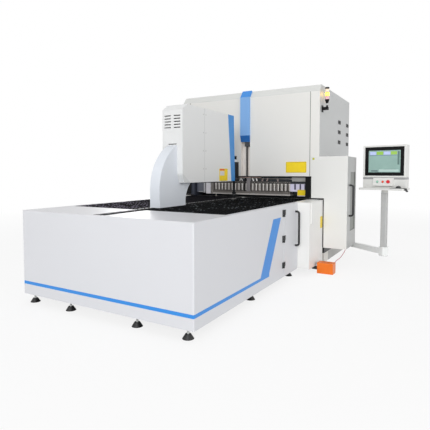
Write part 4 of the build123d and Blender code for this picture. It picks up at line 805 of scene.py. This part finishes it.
def litDisplay(name):  # LCD behind glass: pale teal page, light-blue and green fields, nothing written
    material, tree, shader, place = startMaterial(name, {"Roughness": 0.22, "IOR": 1.5, "Coat Weight": 0.4,
                                                         "Coat Roughness": 0.08,
                                                         "Emission Strength": screen["glow"]})
    local = addNode(tree, "ShaderNodeMapping", {"vector_type": "TEXTURE", "Location": console["pivot"],
                                                "Rotation": (0, 0, console["turn"]), "Vector": place})
    x, y, z = addNode(tree, "ShaderNodeSeparateXYZ", {0: local.outputs[0]}).outputs
    wide, tall = 2 * screen["halfWidth"], screen["high"] - screen["low"]
    layers = []
    for (left, low, right, high), shade in screen["fields"]:
        across = (x, (left - 0.5) * wide, (right - 0.5) * wide)
        up = (z, screen["low"] + low * tall, screen["low"] + high * tall)
        layers.append((inside(tree, across, up), toLinear(shade)))
    colour = layColours(tree, shadeOver(tree, place, screen["page"], 0.12, 0.22), layers)
    tree.links.new(colour, shader.inputs["Base Color"])
    tree.links.new(colour, shader.inputs["Emission Color"])
    return material


mesh = bmesh.new()
addBlock(mesh, (-screen["halfWidth"], screen["front"], screen["low"]),
         (screen["halfWidth"], screen["back"], screen["high"]), 0.0006)
inConsole(mesh)
newPiece("display", mesh, litDisplay("litDisplay"), "console_head")

frameRim = {"halfWidth": 0.297, "low": 1.332, "high": 1.7935, "rim": 0.0242, "front": -0.064, "back": -0.048,
            "round": 0.004}
mesh = bmesh.new()
rimPlace = Matrix.Translation((0, frameRim["back"], (frameRim["low"] + frameRim["high"]) / 2))
rimSize = Matrix.Diagonal((frameRim["halfWidth"], (frameRim["high"] - frameRim["low"]) / 2, 1, 1))
bmesh.ops.create_grid(mesh, x_segments=1, y_segments=1, size=1,
                      matrix=rimPlace @ Matrix.Rotation(math.radians(90), 4, "X") @ rimSize)
sheetFace = mesh.faces[:][0]
bmesh.ops.inset_region(mesh, faces=[sheetFace], thickness=frameRim["rim"], use_boundary=True,
                       use_even_offset=True)
bmesh.ops.delete(mesh, geom=[sheetFace], context="FACES")
rise = bmesh.ops.extrude_face_region(mesh, geom=mesh.faces[:])
bmesh.ops.translate(mesh, vec=(0, frameRim["front"] - frameRim["back"], 0),
                    verts=[item for item in rise["geom"] if isinstance(item, bmesh.types.BMVert)])
bmesh.ops.recalc_face_normals(mesh, faces=mesh.faces)
rims = [edge for edge in mesh.edges
        if all(abs(vert.co.y - frameRim["front"]) < 0.0001 for vert in edge.verts)
        and len({face.normal.to_tuple(1) for face in edge.link_faces}) > 1]
bmesh.ops.bevel(mesh, geom=rims, offset=frameRim["round"], affect="EDGES", segments=3, profile=0.5,
                material=-1)
inConsole(mesh)
newPiece("monitorFrame", mesh, white, "console_head")

collars = {"y": -0.0975, "z": 1.2685, "tilt": 17.2, "places": (-0.075, 0.0), "outline": (
    (0.0156, 0.0), (0.0156, 0.004), (0.0165, 0.005), (0.0185, 0.004), (0.0192, 0.0), (0.0156, 0.0))}
faceTurn = Matrix.Rotation(math.radians(90 - collars["tilt"]), 4, "X")
mesh = bmesh.new()
for x in collars["places"]:
    ring = bmesh.new()
    spinProfile(ring, collars["outline"], (0, 0), 28)
    bmesh.ops.transform(ring, matrix=Matrix.Translation((x, collars["y"], collars["z"])) @ faceTurn,
                        verts=ring.verts)
    part = bpy.data.meshes.new("ring")
    ring.to_mesh(part)
    ring.free()
    mesh.from_mesh(part)
    bpy.data.meshes.remove(part)
inConsole(mesh)
newPiece("buttonCollars", mesh, groundSteel("satinCollar", "#C6C8C8", rough=(0.25, 0.35)), "console_head",
         True)

# The mat lies on the tray, rolls over its right end and hangs, a little wavy
mat = {"left": 0.117, "front": -0.180, "rear": -0.070, "z": 1.1822, "rollFrom": 0.3075, "roll": 0.010,
       "rollSteps": 6, "slant": 72, "slacken": 3, "hang": 0.048, "hangSteps": 4, "flatStep": 0.06, "rows": 6,
       "thick": 0.0016}
matPath = [(mat["left"] + index * mat["flatStep"], mat["z"]) for index in range(3)]
matPath.append((mat["rollFrom"], mat["z"]))
for index in range(1, mat["rollSteps"] + 1):
    turn = math.radians(mat["slant"] * index / mat["rollSteps"])
    matPath.append((mat["rollFrom"] + mat["roll"] * math.sin(turn),
                    mat["z"] - mat["roll"] * (1 - math.cos(turn))))
rollEnd = matPath[-1]
for index in range(1, mat["hangSteps"] + 1):
    along = mat["hang"] * index / mat["hangSteps"]
    turn = math.radians(mat["slant"] - mat["slacken"] * index)
    matPath.append((rollEnd[0] + along * math.cos(turn), rollEnd[1] - along * math.sin(turn)))
matWidth = mat["rear"] - mat["front"]
mesh = bmesh.new()
matRow = [mesh.verts.new((x, mat["front"], z)) for x, z in matPath]
matEdges = [mesh.edges.new(pair) for pair in zip(matRow, matRow[1:])]
for step in range(mat["rows"]):
    grown = bmesh.ops.extrude_edge_only(mesh, edges=matEdges)
    rowVerts = [item for item in grown["geom"] if isinstance(item, bmesh.types.BMVert)]
    matEdges = [item for item in grown["geom"] if isinstance(item, bmesh.types.BMEdge)
                and all(vert in rowVerts for vert in item.verts)]
    bmesh.ops.translate(mesh, vec=(0, matWidth / mat["rows"], 0), verts=rowVerts)
bmesh.ops.recalc_face_normals(mesh, faces=mesh.faces)
if mesh.faces[:][0].normal.z < 0:
    bmesh.ops.reverse_faces(mesh, faces=mesh.faces)
inConsole(mesh)
mouseMat = newPiece("mouseMat", mesh, rubber("clothMat", "#16171A"), "console_head", True)
matThickness = mouseMat.modifiers.new("thickness", "SOLIDIFY")
matThickness.thickness = mat["thick"]
matThickness.offset = 1.0

# The mouse is a squared oval in plan, humped towards the palm, narrower at its waist, with a wheel
mouseBody = {"place": (0.225, -0.135, 1.1838), "size": (0.060, 0.088, 0.031), "square": 3.0,
             "fallAlong": 0.55, "fallAcross": 0.35, "lean": 0.10, "lowest": 0.25, "waist": 0.10, "cuts": 7,
             "wheel": (0.022, 0.80, 0.010, 0.007)}
mesh = bmesh.new()
wide, long, tall = mouseBody["size"]
bmesh.ops.create_cube(mesh, size=1, matrix=Matrix.Translation((0, 0, 0.5)))
bmesh.ops.subdivide_edges(mesh, edges=mesh.edges, cuts=mouseBody["cuts"], use_grid_fill=True)
for vert in mesh.verts:
    x, y, z = vert.co
    power = mouseBody["square"]
    plan = (abs(2 * x) ** power + abs(2 * y) ** power) ** (1 / power) or 1.0
    reach = max(abs(2 * x), abs(2 * y)) / plan
    hump = 1 - mouseBody["fallAlong"] * (2 * y * reach) ** 2
    hump *= 1 - mouseBody["fallAcross"] * (2 * x * reach) ** 2
    hump = max(hump - mouseBody["lean"] * y, mouseBody["lowest"])
    waist = 1 - mouseBody["waist"] * math.cos(3.0 * y) * (1 - z * 0.5)
    vert.co = Vector((x * reach * wide * waist, y * reach * long, z * tall * hump))
bmesh.ops.smooth_vert(mesh, verts=mesh.verts, factor=0.4, use_axis_x=True, use_axis_y=True, use_axis_z=True)
wheelY, wheelShare, wheelRadius, wheelWidth = mouseBody["wheel"]
addRound(mesh, (0, wheelY, tall * wheelShare), wheelRadius, wheelWidth, (1, 0, 0), 20, bevel=0.001)
bmesh.ops.transform(mesh, matrix=Matrix.Translation(mouseBody["place"]), verts=mesh.verts)
inConsole(mesh)
mousePiece = newPiece("mouseShell", mesh, mouldedPlastic("softTouchBlack", "#141417", rough=(0.35, 0.5)),
                      "console_head", True)
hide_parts("mouse")
print("console")


# Lower rear corners of the head cover, black sheets on the side boxes beside the opening, a gauge finger
# before the tools

headCorner = {"rear": -2.972, "top": 1.3915, "kink": 1.374, "foot": -2.938, "bottom": 1.280,
              "chamfer": -2.805, "inner": 0.0690, "outer": 0.147, "bevel": 0.0012}
cornerOutline = [(headCorner["rear"], headCorner["top"]), (headCorner["rear"], headCorner["kink"]),
                 (headCorner["foot"], headCorner["bottom"]), (headCorner["chamfer"], headCorner["bottom"])]
mesh = bmesh.new()
addPrism(mesh, cornerOutline, headCorner["inner"], headCorner["outer"], headCorner["bevel"])
addPrism(mesh, cornerOutline, -headCorner["outer"], -headCorner["inner"], headCorner["bevel"])
newPiece("headCorners", mesh, paintedSteel("cornerPowderCoat", "#D2D4D4"), "manipulator")

blackSheets = {"places": ((-1.196, -1.048), (1.052, 1.0885)), "front": -0.9855, "back": -0.9825, "low": 1.0245,
          "high": 1.345, "screwFrom": 1.060, "screwTo": 1.310, "screwIn": 0.012}
mesh = bmesh.new()
for left, right in blackSheets["places"]:
    addBlock(mesh, (left, blackSheets["front"], blackSheets["low"]), (right, blackSheets["back"], blackSheets["high"]), 0.0008)
    x = left + blackSheets["screwIn"] if left < 0 else right - blackSheets["screwIn"]
    screwRow(mesh, (x, blackSheets["front"], blackSheets["screwFrom"]), (x, blackSheets["front"], blackSheets["screwTo"]), 3,
             (0, -1, 0), 0.005, 0.003)
newPiece("boxBlackSheets", mesh, mattBlack("blackSheetPaint", "#0A0B0D"), "base")

gauge = {"x": -0.573, "y": -0.925, "table": 1.0, "foot": (0.022, 0.030, 0.010, 0.002),
         "post": (0.014, 0.012, 0.036, 0.003)}
mesh = bmesh.new()
low = gauge["table"]
for wide, long, tall, bevel in (gauge["foot"], gauge["post"]):
    addBlock(mesh, (gauge["x"] - wide / 2, gauge["y"] - long / 2, low),
             (gauge["x"] + wide / 2, gauge["y"] + long / 2, low + tall), bevel)
    low += tall
newPiece("gaugeFinger", mesh, groundSteel("gaugeSteel", "#BCBAB2", metal=0.5), "base")
print("corners, blinds and gauge")


# Pilot lamp on the side box, screws of the covers and hinges, ribs on the pedal

pilot = {"x": 1.118, "y": -0.982, "z": 1.604, "radius": 0.017, "dome": 0.0035}
mesh = bmesh.new()
wide, dome = pilot["radius"], pilot["dome"]
spinProfile(mesh, [(0.0, 0.0), (wide, 0.0), (wide, 0.0015), (wide * 0.8, 0.0025), (wide * 0.5, dome * 0.95),
                   (0.0, dome)], (0, 0), 24)
bmesh.ops.transform(mesh, matrix=facing(pilot["x"], pilot["y"], pilot["z"], "-Y"), verts=mesh.verts)
newPiece("pilotLamp", mesh, mouldedPlastic("pilotLens", "#C4C83C", rough=(0.15, 0.25), relief=0.02), "base",
         True)

screws = {"head": (0.0065, 0.0032), "coverX": 1.2, "coverY": (-0.90, 0.93), "coverZ": (0.36, 2.62),
          "boxTop": 1.7, "rearX": 1.13, "rearY": 0.970, "rearZ": (0.345, 2.63), "rearSideZ": (0.802, 2.173),
          "headX": 0.147, "headY": (-2.505, -2.445), "headZ": (1.45, 2.14)}
mesh = bmesh.new()
for side in (-1, 1):
    for z in screws["coverZ"]:
        if side < 0 or z > screws["boxTop"]:  # the side box hides the lower row on the right
            ends = [(side * screws["coverX"], y, z) for y in screws["coverY"]]
            screwRow(mesh, *ends, 7, (side, 0, 0), *screws["head"])
    ends = [(side * screws["rearX"], screws["rearY"], z) for z in screws["rearSideZ"]]
    screwRow(mesh, *ends, 4, (0, 1, 0), *screws["head"])
for z in screws["rearZ"]:
    ends = [(x, screws["rearY"], z) for x in (-screws["rearX"], screws["rearX"])]
    screwRow(mesh, *ends, 8, (0, 1, 0), *screws["head"])
newPiece("coverScrews", mesh, groundSteel("zincScrew", "#B9BAB8", metal=0.7), "base", True)

mesh = bmesh.new()
for side in (-1, 1):
    for y in screws["headY"]:
        ends = [(side * screws["headX"], y, z) for z in screws["headZ"]]
        screwRow(mesh, *ends, 4, (side, 0, 0), *screws["head"])
newPiece("headScrews", mesh, groundSteel("zincHeadScrew", "#B9BAB8", metal=0.7), "manipulator",
         True)

hinges = {"lows": (0.209, 0.531, 0.853), "rises": (0.030, 0.062), "head": (0.0045, 0.0022),
          "leaves": {"frameLeafScrews": (1.105, -2.179, "base"),
                     "doorLeafScrews": (1.114, -2.120, "table_service_door")}}
for screwName, (leafX, leafY, leafBody) in hinges["leaves"].items():
    mesh = bmesh.new()
    for low in hinges["lows"]:
        ends = [(leafX, leafY, low + rise) for rise in hinges["rises"]]
        screwRow(mesh, *ends, 2, (1, 0, 0), *hinges["head"], 10)
    newPiece(screwName, mesh, groundSteel(screwName + "Zinc", "#A9A9A6", metal=0.6), leafBody,
             True)

tread = {"from": 1.262, "count": 4, "pitch": 0.011, "width": 0.004, "sunk": 0.001, "rise": 0.0016,
         "front": -1.347, "back": -1.233, "highX": 1.226, "highZ": 0.064, "fall": 0.008 / 0.224}
mesh = bmesh.new()
for step in range(tread["count"]):
    x = tread["from"] + step * tread["pitch"]
    z = tread["highZ"] - (x - tread["highX"]) * tread["fall"]
    addBlock(mesh, (x - tread["width"] / 2, tread["front"], z - tread["sunk"]),
             (x + tread["width"] / 2, tread["back"], z + tread["rise"]), 0.0006)
newPiece("pedalTread", mesh, rubber("treadRubber", "#232426"), "pedal")
print("pilot lamp, screws and pedal tread")
